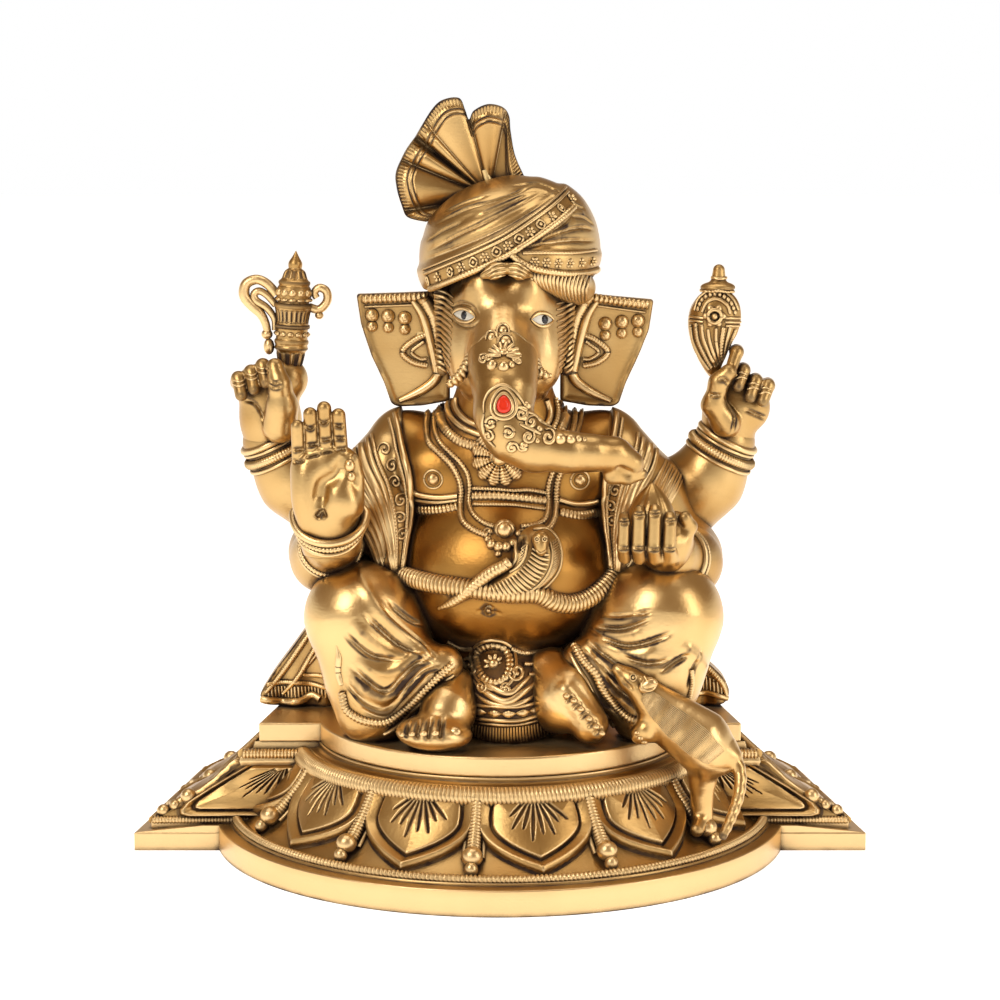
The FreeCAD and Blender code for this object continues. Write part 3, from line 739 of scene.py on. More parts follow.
def lotus_base():
    """Round rim, ring of petals and two side arms, sized by the CAD casting's box and the seat plate's."""
    shell = Shell()
    half, radius, _ = corners("lotus_base")[1]
    seat_low, seat_high = corners("seat_plate")
    neck = seat_high[1] + 3.5
    turned(shell, bevelled([(0, 0.0), (radius, 0.0), (radius, RIM), (radius - 5.4, RIM + 0.3),
                            (radius - 5.8, RIM + 1.4), (radius - 10.4, RIM + 1.6), (80, RIM + 1.2)]))
    rope(shell, circle(radius - 8.0, RIM + 2.2), 2.1, 1.8, 0.36, 0.8, closed=True)
    petal_ring(shell)
    turned(shell, bevelled([(80, 12), (86, 36), (86, 41.5), (84.5, 43.2), (neck - 1.5, 43.4), (neck - 3, 44.2),
                            (neck - 3, seat_low[2]), (0, seat_low[2])]))
    rope(shell, circle(87.4, 39.6, 0.35), 4.4, 1.7, 0.17, 0.8, closed=True, sides=18)
    front, back = ARM_FRONT, ARM_BACK
    arm_tiers(shell, [(half, front, back, 0.0), (half, front, back, 0.4), (half, front, back, LIP - 0.3),
                      (half - 0.4, front + 0.3, back - 0.3, LIP), (half - 30, front + 0.3, back - 0.3, RIM),
                      (half - 60, front + 5, back - 5, RIM + 0.3)])
    inner_half = half - ARM_STEP
    arm_tiers(shell, [(inner_half, front + 4, back - 4, 4.0), (inner_half, front + 4, back - 4, 12.0),
                      (inner_half - 2.5, front + 7.5, back - 7.5, 14.0),
                      (half - 40, front + 9, back - 9, 14.5)])
    for side in (-1, 1):
        line = [(side * 100, front + 5.2, 12.2), (side * (inner_half - 0.6), front + 5.2, 12.2),
                (side * (inner_half - 0.6 - ARM_TAPER * (back - front - 10)), back - 5.2, 12.2),
                (side * 100, back - 5.2, 12.2)]
        straight_rope(shell, line, 1.9, 1.4)
        arm_petals(shell, side)
    arm_tiers(shell, [(113, -20, 48, 36.0), (113.5, -20.5, 48.5, 38.0), (113, -20, 48, 40.0),
                      (110, -18, 46, 41.5), (108, -16, 44, 42.0), (107, -15.5, 43.5, 45.9)])
    for side in (-1, 1):
        line = [(side * 84, -19.2, 41.2), (side * 112, -19.2, 41.2), (side * 101.5, 47, 41.2),
                (side * 84, 47, 41.2)]
        straight_rope(shell, line, 2.3, 1.5)
    screw_bosses(shell, RIM + 25, seat_low[2])
    return piece("lotus_base_visual", shell, BASE_BRASS, "base_brass", "lotus_base")


def seat_plate():
    """Round plate with two side arms, which the figure sits on."""
    shell = Shell()
    low, (half, radius, top) = corners("seat_plate")
    turned(shell, bevelled([(0, low[2]), (radius, low[2]), (radius, top), (0, top)], 0.5))
    arm_tiers(shell, [(half - 0.4, -16.6, 44.6, low[2]), (half, -17, 45, low[2] + 0.4),
                      (half, -17, 45, top - 0.6), (half - 0.5, -16.5, 44.5, top - 0.1),
                      (60, -10, 30, top - 0.05)])
    screw_bosses(shell, low[2], top - 0.5)
    return piece("seat_plate_visual", shell, BASE_BRASS, "base_brass", "seat_plate")


# ---- the head ----------------------------------------------------------------------------------------
def head_field(p):
    """Skull, brow, cheeks, eye hollows, the root of the trunk and the neck."""
    skull = ball(p, (2, -8, 232), (27, 27, 27))
    face = ball(p, (2, -15, 222), (25, 23, 27))
    d = join(skull, face, 8)
    for side in (-1, 1):
        x = 2 + side * 8.2
        d = join(d, ball(p, (x, -27, 243), (9.5, 10, 12)), 5)
        d = join(d, ball(p, (2 + side * 13, -24, 214), (11, 12, 15)), 7)
        d = carve(d, ball(p, (1.5 + side * 16.4, -41.5, 232.6 - side), (7.4, 6.5, 4.6), side * 4), 3.0)
    d = join(d, bar(p, (1, -30, 232), (1, -42, 218), 11, 14.5), 7)
    return join(d, limb(p, [(2, -4, 214, 20), (2, -6, 196, 20)]), 6)


def face_lines(shell, field):
    """Eyelids and the creases above and below them, cut into and laid on the face."""
    for crease, bag, upper, lower in EYE_LIDS:
        grooves(shell, field, [crease, bag], 0.55, 1.0)
        for line, size in ((upper, 0.85), (lower, 0.75)):
            rope(shell, front_line(field, line, 0.4, 0.2), size, taper=(0.4, 1, 1, 1, 0.4))
    grooves(shell, field, [[(1.9, 251.0), (1.9, 243.0), (1.8, 235.0)]], 2.6, 1.0, 0.0)


EYES = ((-15.0, 233.3, -0.25), (17.7, 231.6, -0.5))   # x, height and slope of each eye


def almond(x, z, half, up, down, tilt):
    """Upper and lower edge of an eye opening."""
    share = np.linspace(-1, 1, 9)
    upper = [(x + half * s, z + up * (1 - abs(s) ** 2.2) + tilt * s) for s in share]
    lower = [(x + half * s, z - down * (1 - abs(s) ** 2.2) + tilt * s) for s in share]
    return upper, lower


def eye_lids():
    """Lines round each eye, from the crease above the lid to the fold under it."""
    lids = []
    for x, z, tilt in EYES:
        upper, lower = almond(x, z, 4.9, 2.9, 2.7, tilt)
        crease, _ = almond(x - 0.2, z + 1.1, 6.6, 3.8, 0, tilt)
        _, bag = almond(x + 0.2, z - 1.1, 6.2, 0, 3.4, tilt)
        lids.append((crease, bag, upper, lower))
    return lids


EYE_LIDS = eye_lids()


def eyes():
    """Silvery whites and round black pupils set between the lids."""
    whites, pupils = Shell(), Shell()
    for (x, z, tilt), shift in zip(EYES, (0.0, 1.0)):
        around = np.arange(28) * TAU / 28
        rows = []
        for share in (0.02, 0.3, 0.6, 0.85, 1.0):
            ring = np.stack([x + 4.5 * share * np.cos(around), 0 * around,
                             z + 2.55 * share * np.sign(np.sin(around)) * np.abs(np.sin(around)) ** 1.3
                             + tilt * share * np.cos(around)], -1)
            rows.append(lay(head_field, seen_from(head_field, ring), 0.55 - 0.5 * share ** 2))
        whites.grid(np.stack(rows), wrap_v=True)
        whites.grid(np.stack([rows[-1], rows[-1] + (0, 1.2, 0)]), wrap_v=True)
        seat = spot(head_field, x + shift, z + 0.1, 0.35)
        pebble(pupils, seat, (1.9, 1.9, 0.9), gradient(head_field, seat[None])[0], cols=20, rows=10)
    piece("eye_whites_visual", whites, EYE_WHITE, "eye_white", "eye_whites")
    return piece("eye_pupils_visual", pupils, EYE_BLACK, "eye_black", "eye_pupils")


def strands(shell, field, starts, ends, count, size, bend):
    """Locks of hair between a line of starts and a line of ends, dropped on a field from the front."""
    s = smooth_line([(a, 0, b) for a, b in starts], 0.2)
    e = smooth_line([(a, 0, b) for a, b in ends], 0.2)
    for k in range(count):
        f = k / max(count - 1, 1)
        a, b = s[int(f * (len(s) - 1))], e[int(f * (len(e) - 1))]
        t = np.linspace(0, 1, 14)[:, None]
        line = a + (b - a) * t
        across = np.array([-(b - a)[2], 0, (b - a)[0]]) / max(np.linalg.norm(b - a), 1e-6)
        line = line + across * (bend * 4 * t * (1 - t))
        rope(shell, lay(field, seen_from(field, line)), size, taper=(0.6, 1, 1, 0.4), sides=8)


def head():
    """Face with its lids and creases, and a roll of hair beside each cheek."""
    shell = Shell()
    field = head_field
    sculpt(shell, field, (-28, -50, 192), (34, 22, 262), 0.55)
    face_lines(shell, field)
    for side in (-1, 1):
        x = 2 + side * 26
        hair = lambda p: join(field(p), bar(p, (x, -12, 240), (2 + side * 26.5, -10, 210), 4.5, 3.2), 3)
        roll = lambda p: bar(p, (x, -12, 241), (2 + side * 26.5, -10, 208), 4.2, 2.6)
        sculpt(shell, roll, (x - 8, -20, 200), (x + 8, 0, 250), 0.6)
        strands(shell, hair, [(x + side * 4, 243), (x + side * 3.4, 210)],
                [(x - side * 4.5, 240), (x - side * 2.5, 206)], 15, 0.85, 0.6)
    # the face takes the lighter copy of the brass, which is painted reflection
    return piece("head_visual", shell, PAINTED_LIGHT_BRASS, "figure_brass", "head")


def hair_bun(p):
    """Hair gathered under the turban, beside the brow."""
    return limb(p, [(8, -32, 253, 4), (19, -27.5, 250.5, 6.0), (28, -20, 247, 7.4), (33.5, -11, 243.5, 7.4)], 6)


def forelock(p):
    """Two locks that curl away from the middle of the brow."""
    left = limb(p, [(2.4, -38.0, 253.6, 2.6), (-2.4, -38.8, 252.4, 3.4), (-7.0, -37.0, 250.4, 1.5)], 1.5)
    right = limb(p, [(3.6, -38.0, 253.6, 2.6), (8.2, -38.4, 252.2, 3.4), (12.8, -35.5, 250.6, 1.5)], 1.5)
    return join(left, right, 0.6)


def trunk_field(p):
    """Trunk that hangs from the face, bends to the viewer's right and ends in a small hook."""
    d = limb(p, [(1, -36, 225, 11.0), (1, -43, 216.5, 13.4), (1.5, -50, 209.5, 13.2), (2, -58, 203, 11.6),
                 (1, -64, 195, 10.8), (5, -66, 187, 10.3), (14, -67, 182, 9.2), (28, -67, 180, 7.7),
                 (38, -65, 179.4, 6.6), (47, -62, 178.5, 6.2), (54, -60, 174.5, 5.4)], 5)
    d = join(d, limb(p, [(46.5, -62, 177, 4.6), (46.6, -61.5, 169.8, 3.6), (52.5, -60.5, 168.9, 3.1),
                         (58.8, -58.5, 169.6, 2.4)], 2), 1.6)
    return carve(d, bar(p, (49.4, -67.0, 172.4), (53.5, -65.6, 170.6), 2.2, 2.0), 1.0)


def snout_field(p):
    """Face and trunk together, for ornament that crosses from one to the other."""
    return np.minimum(head_field(p), trunk_field(p))


def curl(shell, field, centre, size, turns, start, way, thick=0.8, lift=0.1):
    """Scroll that winds in to a small boss, laid on a field."""
    t = np.linspace(0, 1, 26)
    angle = start + way * TAU * turns * t
    reach = size * (1 - 0.82 * t)
    flat = np.stack([centre[0] + reach * np.cos(angle), np.zeros(26), centre[1] + reach * np.sin(angle)], -1)
    line = lay(field, seen_from(field, flat), lift)
    rope(shell, line, thick, taper=(0.55, 1, 1, 0.8), sides=8)
    pebble(shell, line[-1], thick * 1.25, cols=8, rows=6)


def palmette(shell, field):
    """Bud, lobes, fan and two drops between the eyes and the jewel."""
    for x, z, size in ((1.2, 229.2, 2.5), (-3.4, 226.6, 2.4), (2.3, 225.0, 3.2)):
        half = [(x + size * math.cos(a), z - size * 0.5 + size * 1.25 * math.sin(a))
                for a in np.linspace(-0.2, math.pi + 0.2, 9)]
        rope(shell, front_line(field, half, 0.4, 0.2), 0.7, taper=(0.5, 1, 1, 1, 0.5), sides=8)
        pebble(shell, spot(field, x, z - 0.4, -0.3), (size * 0.72, size * 0.8, 1.1), (0, -1, 0.6))
    for k in range(9):
        a = math.radians(-190 + 200 * k / 8)
        line = [(1.6 + reach * 1.15 * math.cos(a + 0.03 * reach),
                 219.2 - reach * 0.85 * math.sin(a + 0.03 * reach))
                for reach in (1.0, 3.2, 5.4)]
        rope(shell, front_line(field, line, 0.5, 0.3), 1.1, taper=(0.6, 1, 0.9), sides=8)
        if k in (0, 8):
            curl(shell, field, (line[2][0] * 1.02, line[2][1] - 0.6), 1.7, 1.1, 1.0, 1 if k else -1, 0.7, 0.3)
    pebble(shell, spot(field, 1.6, 220.4), (2.4, 1.6, 1.6), FRONT)
    for x, z, size in ((-3.2, 215.3, 2.3), (1.4, 214.9, 2.3), (4.6, 215.7, 1.5)):
        pebble(shell, spot(field, x, z), (size, size * 1.1, 1.7), FRONT)
    for x, z in ((-6.6, 217.6), (6.9, 217.8)):
        curl(shell, field, (x, z), 2.2, 1.2, 0.6, 1, 0.75, 0.2)


def trunk():
    """Trunk with a palmette, the setting of its jewel and the scrolls along its bend."""
    shell = Shell()
    field = trunk_field
    jewel = middle("trunk_jewel")
    sculpt(shell, field, (-16, -82, 160), (66, -20, 242), 0.5)
    palmette(shell, snout_field)
    # settings round the jewel, and an arch above them
    for size, thick, slip in ((1.0, 0.85, 0.0), (1.42, 0.8, 0.3)):
        t = np.linspace(0, TAU, 28, endpoint=False)
        ring = [(jewel[0] + size * 3.5 * math.sin(a) * (1 - 0.25 * math.cos(a)),
                 jewel[2] + size * 4.2 * math.cos(a) + slip) for a in t]
        rope(shell, front_line(field, ring, 0.5, 0.2, closed=True), thick, closed=True)
    arch = [(-6.4, 197.0), (-6.4, 201.0), (-4.2, 205.4), (0.6, 208.0), (5.2, 206.2), (8.6, 202.0),
            (10.4, 198.4)]
    rope(shell, front_line(field, arch, 0.5, 0.2), 0.8, taper=(0.5, 1, 1, 1, 0.5))
    # scrolls and beads along the top of the bend
    for x, z, size, start, way in ((8.5, 196.5, 3.0, 2.6, -1), (12.5, 193.0, 2.6, 1.0, 1),
                                   (-3.5, 193.0, 2.8, 0.4, 1), (3.4, 189.4, 2.8, 2.2, -1),
                                   (5.0, 183.2, 2.4, 0.0, 1), (-4.5, 187.8, 2.2, 1.5, -1),
                                   (11.5, 187.6, 2.6, 0.6, -1), (9.4, 183.8, 2.0, 3.0, 1),
                                   (19.6, 187.0, 3.2, 2.0, -1)):
        curl(shell, field, (x, z), size, 1.3, start, way, 0.9, 0.3)
    for x, z, size in ((24.6, 186.4, 2.6), (28.8, 186.2, 2.2), (32.0, 186.2, 1.6), (34.4, 185.8, 1.1),
                       (16.0, 190.4, 1.5), (15.2, 186.0, 1.1), (10.8, 199.6, 2.0), (9.6, 195.0, 1.6)):
        pebble(shell, spot(field, x, z), (size, size, size * 0.8), (0, -1, 0.4))
    for points in ([(6.5, 199.5), (13.0, 196.0), (17.5, 192.2), (23.0, 189.5)],
                   [(8.0, 192.8), (12.5, 190.5), (16.5, 188.4)],
                   [(-6.5, 196.5), (-7.0, 192.0), (-5.5, 187.0), (-2.0, 183.2)]):
        rope(shell, front_line(field, points, 0.6, 0.1), 1.0, taper=(0.5, 1, 1, 0.5))
    return piece("trunk_visual", shell, FIGURE_BRASS, "figure_brass", "trunk")


def trunk_jewel():
    """Red drop of cut glass with a small round facet."""
    shell = Shell()
    low, high = corners("trunk_jewel")
    centre = (low + high) / 2
    around = np.arange(32) * TAU / 32
    rows = []
    for share, lift in ((1.0, -0.4), (0.96, 0.9), (0.6, 1.5), (0.5, 1.15), (0.3, 1.2), (0.02, 1.25)):
        ring = np.stack([centre[0] + share * 2.7 * np.sin(around) * (1 - 0.28 * np.cos(around)), 0 * around,
                         centre[2] + share * 3.4 * np.cos(around)], -1)
        rows.append(lay(trunk_field, seen_from(trunk_field, ring), lift))
    shell.grid(np.stack(rows), wrap_v=True, flip=True)
    return piece("trunk_jewel_visual", shell, RED_GLASS, "red_stone", "trunk_jewel")


def tusks():
    """Two short ringed tusks."""
    for node, points, sizes in (
            ("right_tusk", [(-11.5, -42, 216.5), (-14.0, -45, 212.5), (-17.5, -47, 208.5), (-22, -48, 205.5)],
             (3.4, 3.0, 2.7, 2.5, 1.6)),
            ("left_tusk", [(13.5, -42, 214), (15.5, -45, 211), (18.5, -46, 209.6), (21.5, -46, 209.4)],
             (3.8, 3.4, 3.0, 2.4, 0.8))):
        shell = Shell()
        rope(shell, smooth_line(points, 0.3), 1.0, 2.2, 0.22, 0.0, taper=sizes, sides=16)
        piece(node + "_visual", shell, FIGURE_BRASS, "figure_brass", node)


def ear(side):
    """Flat ear with a ribbed top edge, three double drops, a chevron and a raised fold beside the head."""
    shell = Shell()
    lift = 0.0 if side < 0 else -2.5
    outline = smooth_corners([(24, 241), (64.5, 239.4 + lift), (62.6, 226.5 + lift), (58.2, 213), (52.6, 201),
                              (49.6, 192), (46.8, 190.6), (36, 191), (24, 193)], 1.2)
    outline = outline * (side, 1) + (2.2, 0)
    if side < 0:
        outline = outline[::-1]

    def field(p):
        e = outline_distance(p[0], p[2], outline)
        bow = 6.5 + 0.0045 * (p[0] * side - 40) ** 2 - 0.9 * np.exp(-((e - 1.2) / 1.6) ** 2)
        return np.maximum(-e, np.abs(p[1] - bow) - 2.4)

    sculpt(shell, field, (min(outline[:, 0]) - 2, 0, 188), (max(outline[:, 0]) + 2, 14, 244), 0.5)
    place = lambda points: [(side * x + 2.2, z) for x, z in points]
    fold = place([(40, 237), (35.5, 230), (32.5, 220), (30.5, 211), (29.5, 204), (35, 198.4), (46, 193)])
    rope(shell, front_line(field, fold, 0.7, 0.2), 2.3, taper=(0.6, 1, 1, 1, 0.9, 0.5))
    inner = place([(36, 239), (31, 230), (28.5, 220), (26.5, 210)])
    rope(shell, front_line(field, inner, 0.7, 0.6), 3.0, 1.6, 0.2)
    top = place([(35, 238.6), (61.5, 237.4 + lift)])
    rope(shell, front_line(field, top, 0.3, 0.4), 2.1, 2.1, 0.28, 0.0)
    rope(shell, front_line(field, place([(36, 235.2), (61.0, 234.0 + lift)]), 0.5, 0.1), 0.6)
    for x, z in ((57.6, 230.4), (50.6, 230.0), (43.4, 229.2)):
        for drop, size in ((0, 3.1), (-4.9, 2.5)):
            seat = lay(field, seen_from(field, [(side * x + 2.2, 0, z + drop + lift)]))[0]
            pebble(shell, seat, (size, size, size * 0.75), FRONT)
            pebble(shell, seat + (0, -size * 0.7, 0), (size * 0.4, size * 0.4, 0.5), FRONT, cols=8, rows=6)
    for shrink in (0.0, 3.0):
        zigzag = place([(34 + shrink * 0.4, 222 - shrink), (39.5 - shrink, 219.5 - shrink * 0.5),
                        (44.5 - shrink * 1.3, 214.5), (40 - shrink, 210 + shrink * 0.5), (34, 208.5 + shrink)])
        rope(shell, front_line(field, zigzag, 0.4, 0.2), 1.5 - shrink * 0.2, 1.2, 0.25)
    node = "right_ear" if side < 0 else "left_ear"
    return piece(node + "_visual", shell, FIGURE_BRASS, "figure_brass", node)


def smooth_corners(points, size):
    """Closed outline with each corner turned into a short curve."""
    points, out = np.asarray(points, float), []
    for before, here, after in zip(np.roll(points, 1, 0), points, np.roll(points, -1, 0)):
        a = here + (before - here) * min(size / np.linalg.norm(before - here), 0.45)
        b = here + (after - here) * min(size / np.linalg.norm(after - here), 0.45)
        out += [(1 - t) ** 2 * a + 2 * t * (1 - t) * here + t * t * b for t in (0, 0.25, 0.5, 0.75, 1)]
    return np.array(out)


# ---- the turban --------------------------------------------------------------------------------------
BAND_TILT = np.array([0.52, 0.0, -0.854])   # across the studded band, towards its lower edge


def turban_dome(p):
    """Bare crown of the turban, wider at its brim."""
    d = join(ball(p, (5, 1, 262), (37.6, 36.5, 27.6), -6), ball(p, (4.5, 0, 252), (37.6, 36.8, 17), -10), 6)
    return join(d, ball(p, (4, 4, 254), (36.5, 34, 18)), 5)


def step(value, width=0.8):
    """Smooth step from 0 to 1 at value 0, in 1 or 2 widths."""
    return 1 / (1 + np.exp(-np.clip(value / width, -30, 30)))


def turban_field(p):
    """Dome with the layers of the winding cloth."""
    d = turban_dome(p)
    across = (p[0] + 31.5) * BAND_TILT[0] + (p[2] - 250.5) * BAND_TILT[2]
    bend = 0.0022 * (p[0] - 2) ** 2
    front = step(-p[1] - 2, 6)
    for shift, height in ((0.0, 1.5), (-9.5, 0.7), (-17.5, 0.7), (-26.0, 0.8)):
        d = d - height * step(across + bend - shift, 0.5) * step(shift + 12 - across, 2.5)
    right = (p[2] - 262.5) + 0.10 * (p[0] - 5)
    d = d - 1.4 * step(-(right), 0.5) * step(p[0] - 6, 1.5) * front
    rising = 243.5 + 0.475 * (p[0] + 29.5)
    falling = 250.3 + 8.7 * np.exp(np.clip((5 - p[0]) / 8.5, -9, 3))
    edge = front * np.minimum(rising, falling) + (1 - front) * 246
    return np.maximum(d, (edge - 1.2 - p[2]) * 0.9)


def turban():
    """Wound turban with two studded bands, a bun of hair and a forelock."""
    shell = Shell()
    field = turban_field
    sculpt(shell, field, (-38, -42, 238), (48, 42, 293), 0.6)
    folds = [[(-27.0, 270.5), (-14.8, 277.2), (-1.9, 281.1), (9.3, 285.1), (14.9, 287.4)],
             [(-24, 275.5), (-15, 280), (-5, 283)],
             [(-30.5, 259.3), (-18.0, 266.5), (-6.8, 272.1), (6.9, 278.9), (17, 284)],
             [(-31, 263.5), (-24, 268.5), (-15, 272.6)],
             [(-10, 274.6), (2, 279.4), (12, 283.4)],
             [(6, 287), (16, 288), (26, 284)],
             [(-31.5, 255.6), (-21, 260.2), (-9, 265.6), (3, 271.6), (15, 278.6), (24, 284)],
             [(9.3, 261.9), (17, 266), (25.4, 270.6), (31, 275.4)],
             [(14, 262.6), (23, 267.4), (34, 269.5), (40, 268)],
             [(30, 274.4), (36, 273.4), (40, 270)],
             [(7.7, 260.8), (17.4, 263.4), (29.5, 264.4), (40.2, 263.6)],
             [(31, 279.6), (36, 277)]]
    grooves(shell, field, folds, 0.6, 1.0, 0.9)
    etch(shell, field, [front_line(field, [(x, z - 2.2) for x, z in line], 1.0) for line in folds], 1.4, -0.3)
    low_edge = [(-29.5, 243.5), (-18.5, 248.8), (-7, 254), (4, 259.4), (14.5, 266), (24, 272.4), (31, 278)]
    high_edge = [(x - 2.3, z + 6.2) for x, z in low_edge]
    for line, size in ((low_edge, 1.5), (high_edge, 0.8), ([(x - 0.7, z + 1.7) for x, z in high_edge], 0.6)):
        rope(shell, front_line(field, line, 0.35, 0.3), size, 1.5, 0.2)
    studs = front_line(field, [(x - 1.1, z + 3.2) for x, z in low_edge], 5.2, 0.2)
    for k, seat in enumerate(studs):
        if k % 2:
            rosette(shell, seat, (-0.1, -1, 0.2), 2.3, 6, 0.5)
        else:
            square = np.array([(math.cos(a) * 2.0, 0, math.sin(a) * 2.0) for a in np.arange(4) * TAU / 4 + 0.3])
            rope(shell, lay(field, smooth_line(seat + square, 0.5, closed=True), 0.2), 0.55, closed=True)
            pebble(shell, seat, 0.9, cols=8, rows=6)
    right_edge = [(5, 259.0), (10, 255.2), (17, 252.6), (27, 251.0), (36, 250.6), (41.5, 251)]
    right_top = [(9.5, 259.8), (17.4, 259.8), (29.5, 259.3), (40.8, 259.6)]
    rope(shell, front_line(field, right_edge, 0.35, 0.3), 1.6, 1.5, 0.15)
    rope(shell, front_line(field, right_top, 0.35, 0.2), 0.8, 1.5, 0.2)
    for seat in front_line(field, [(14.5, 256.2), (27, 255.2), (39, 255.2)], 5.2, 0.2):
        rosette(shell, seat, (0.2, -1, 0), 2.1, 6, 0.5)
    bun = lambda p: join(hair_bun(p), field(p) + 1.5, 2)
    sculpt(shell, hair_bun, (-2, -44, 230), (48, 10, 262), 0.6)
    strands(shell, bun, [(11, 253), (22, 251.5), (38.5, 249)], [(16, 246), (26, 240), (37, 237.5)],
            17, 1.05, -1.5)
    sculpt(shell, forelock, (-10, -44, 245), (17, -30, 260), 0.4)
    for tip, way in ((-7.6, -1), (13.4, 1)):
        for k in range(4):
            root, end = 255.4 - 1.5 * k, 251.4 - 0.8 * k
            bend = [(3 + way * 0.8, root), (3 + way * 5.0, root - 0.2 - 0.2 * k), (tip - way * 1.2 * k, end)]
            rope(shell, front_line(forelock, bend, 0.5, 0.1), 0.55, taper=(0.6, 1, 1, 0.3), sides=8)
    return piece("turban_visual", shell, FIGURE_BRASS, "figure_brass", "turban")


def plume():
    """Pleated fan of cloth with a fringed edge and a double line inside it."""
    shell = Shell()
    centre = np.array([-6.9, 284.4]) + (2.5, -3.0)
    edge = [(-31.8, 270.8), (-40.0, 272.9), (-42.6, 278.5), (-44.5, 286), (-44.6, 292.5), (-40.7, 301.0),
            (-35.8, 308.2), (-29.6, 318.2), (-24.6, 322.8), (-17.6, 323.6), (-15.0, 318.6), (-13.3, 314.5),
            (-11.3, 318.2), (-5.3, 321.0), (1.0, 319.8), (3.9, 316.0), (4.6, 309.5), (6.5, 299.2), (10.5, 290)]
    edge = smooth_line(edge, 0.4)
    way = edge - centre
    reach = np.hypot(way[:, 0], way[:, 1])
    angle = np.unwrap(np.arctan2(way[:, 1], way[:, 0]))
    ridges = [(-2.78, 0.18), (3.02, 0.26), (2.62, 0.12), (2.36, 0.09), (2.08, 0.26), (1.62, 0.20)]
    turn = np.mod(angle, TAU)
    relief = np.zeros(len(edge))
    for at, width in ridges:
        off = np.abs((turn - np.mod(at, TAU) + math.pi) % TAU - math.pi)
        relief = np.maximum(relief, np.sqrt(np.clip(1 - (off / (width * 1.15)) ** 2, 0, 1)))
    s = np.linspace(0.0, 1.0, 90)[None, :]
    run = np.concatenate([[0], np.cumsum(np.hypot(np.diff(edge[:, 0]), np.diff(edge[:, 1])))])[:, None]
    inward = (1 - s) * reach[:, None]
    height = relief[:, None] * (1.5 + 6.5 * s ** 0.8)
    fringe = step(3.6 - inward, 0.25)
    height = height - 0.55 * fringe * (0.5 + 0.5 * np.cos(run * TAU / 1.5)) ** 2 - 0.3 * fringe
    for at, width in ((5.2, 0.55), (7.4, 0.45)):
        height = height + 0.75 * np.exp(-((inward - at) / width) ** 2)
    thin = 1.3 + 1.2 * (1 - s)
    x = centre[0] + way[:, :1] * s
    z = centre[1] + way[:, 1:] * s
    mid = 9.0
    front = np.stack([x, mid - height, z], -1)
    back = np.stack([x, mid - height + 2 * thin + 0.8 * relief[:, None], z], -1)
    shell.grid(np.concatenate([front, back[:, ::-1]], axis=1), wrap_v=True, flip=True)
    for end, order in ((0, 1), (-1, -1)):
        ring = np.concatenate([front[end], back[end, ::-1]])[::order]
        n = front.shape[1]
        index = np.arange(n - 1)
        quads = np.stack([index, index + 1, 2 * n - 2 - index, 2 * n - 1 - index], -1)
        shell.add(ring, [quads])
    return piece("turban_plume_visual", shell, FIGURE_BRASS, "figure_brass", "turban_plume")


def etch(shell, field, lines, width, depth, stain=0.0):
    """Sinks a soft groove along each line into the skin sculpted last. A negative depth raises a ridge."""
    points = shell.points[-1].astype(float)
    sunk = np.zeros(len(points))
    for line in lines:
        low, high = line.min(0) - 3 * width, line.max(0) + 3 * width
        near = np.flatnonzero(((points > low) & (points < high)).all(1))
        spots = points[near]
        best, along = np.full(len(near), 1e9), np.zeros(len(near))
        for k, (a, b) in enumerate(zip(line, line[1:])):
            run = b - a
            t = np.clip((spots - a) @ run / max(run @ run, 1e-9), 0, 1)
            gap = ((spots - a - t[:, None] * run) ** 2).sum(1)
            closer = gap < best
            best[closer], along[closer] = gap[closer], (k + t[closer]) / (len(line) - 1)
        ends = np.clip(5 * along, 0, 1) * np.clip(5 * (1 - along), 0, 1)
        sunk[near] = np.maximum(sunk[near], np.exp(-best / width ** 2) * (0.1 + 0.9 * ends))
    moved = np.flatnonzero(sunk > 0.01)
    slope = gradient(field, points[moved])
    points[moved] -= slope * (depth * sunk[moved])[:, None]
    shell.points[-1] = points.astype(np.float32)
    shell.patina_and_shade.append((moved + shell.count - len(points), stain * sunk[moved] ** 2))


def grooves(shell, field, places, width=0.75, depth=1.2, stain=1.0):
    """Grooves drawn from the front, with dark patina left in them."""
    etch(shell, field, [front_line(field, line, 1.0) for line in places], width, depth, stain)


def between(first, last, share):
    """Line that runs part of the way from one curve to another."""
    a, b = (smooth_line([(x, 0, z) for x, z in line], 1.0) for line in (first, last))
    marks = np.linspace(0, 1, 12)
    line = [[np.interp(marks, np.linspace(0, 1, len(c)), c[:, k]) for k in (0, 2)] for c in (a, b)]
    return list(zip(*(np.array(line[0]) * (1 - share) + np.array(line[1]) * share)))


def bangle(shell, field, centre, axis, radius, thick, pitch=0.0, flat=1.0, lift=0.2):
    """Ring laid round a limb."""
    across = basis(axis)
    angle = np.linspace(0, TAU, 90, endpoint=False)
    loop = np.asarray(centre) + radius * (np.cos(angle)[:, None] * across[0]
                                          + np.sin(angle)[:, None] * across[1])
    loop = smooth_line(lay(field, loop, lift), 0.4, closed=True)
    rope(shell, loop, thick, pitch, 0.25, 0.0, closed=True, hint=axis, flat=flat)


def eyed_loop(shell, field, centre, radius, thick, lift=0.2, squash=1.0):
    """Closed ring laid on a field from the front."""
    angle = np.linspace(0, TAU, 24, endpoint=False)
    ring = [(centre[0] + radius * math.cos(a), centre[1] + radius * squash * math.sin(a)) for a in angle]
    rope(shell, front_line(field, ring, 0.4, lift, closed=True), thick, closed=True, sides=8)


def spot(field, x, z, lift=0.0):
    return seen_from(field, [(x, 0, z)], lift=lift)[0]


# ---- the body ----------------------------------------------------------------------------------------
SEAT_LEVEL = corners("seat_plate")[1][2]


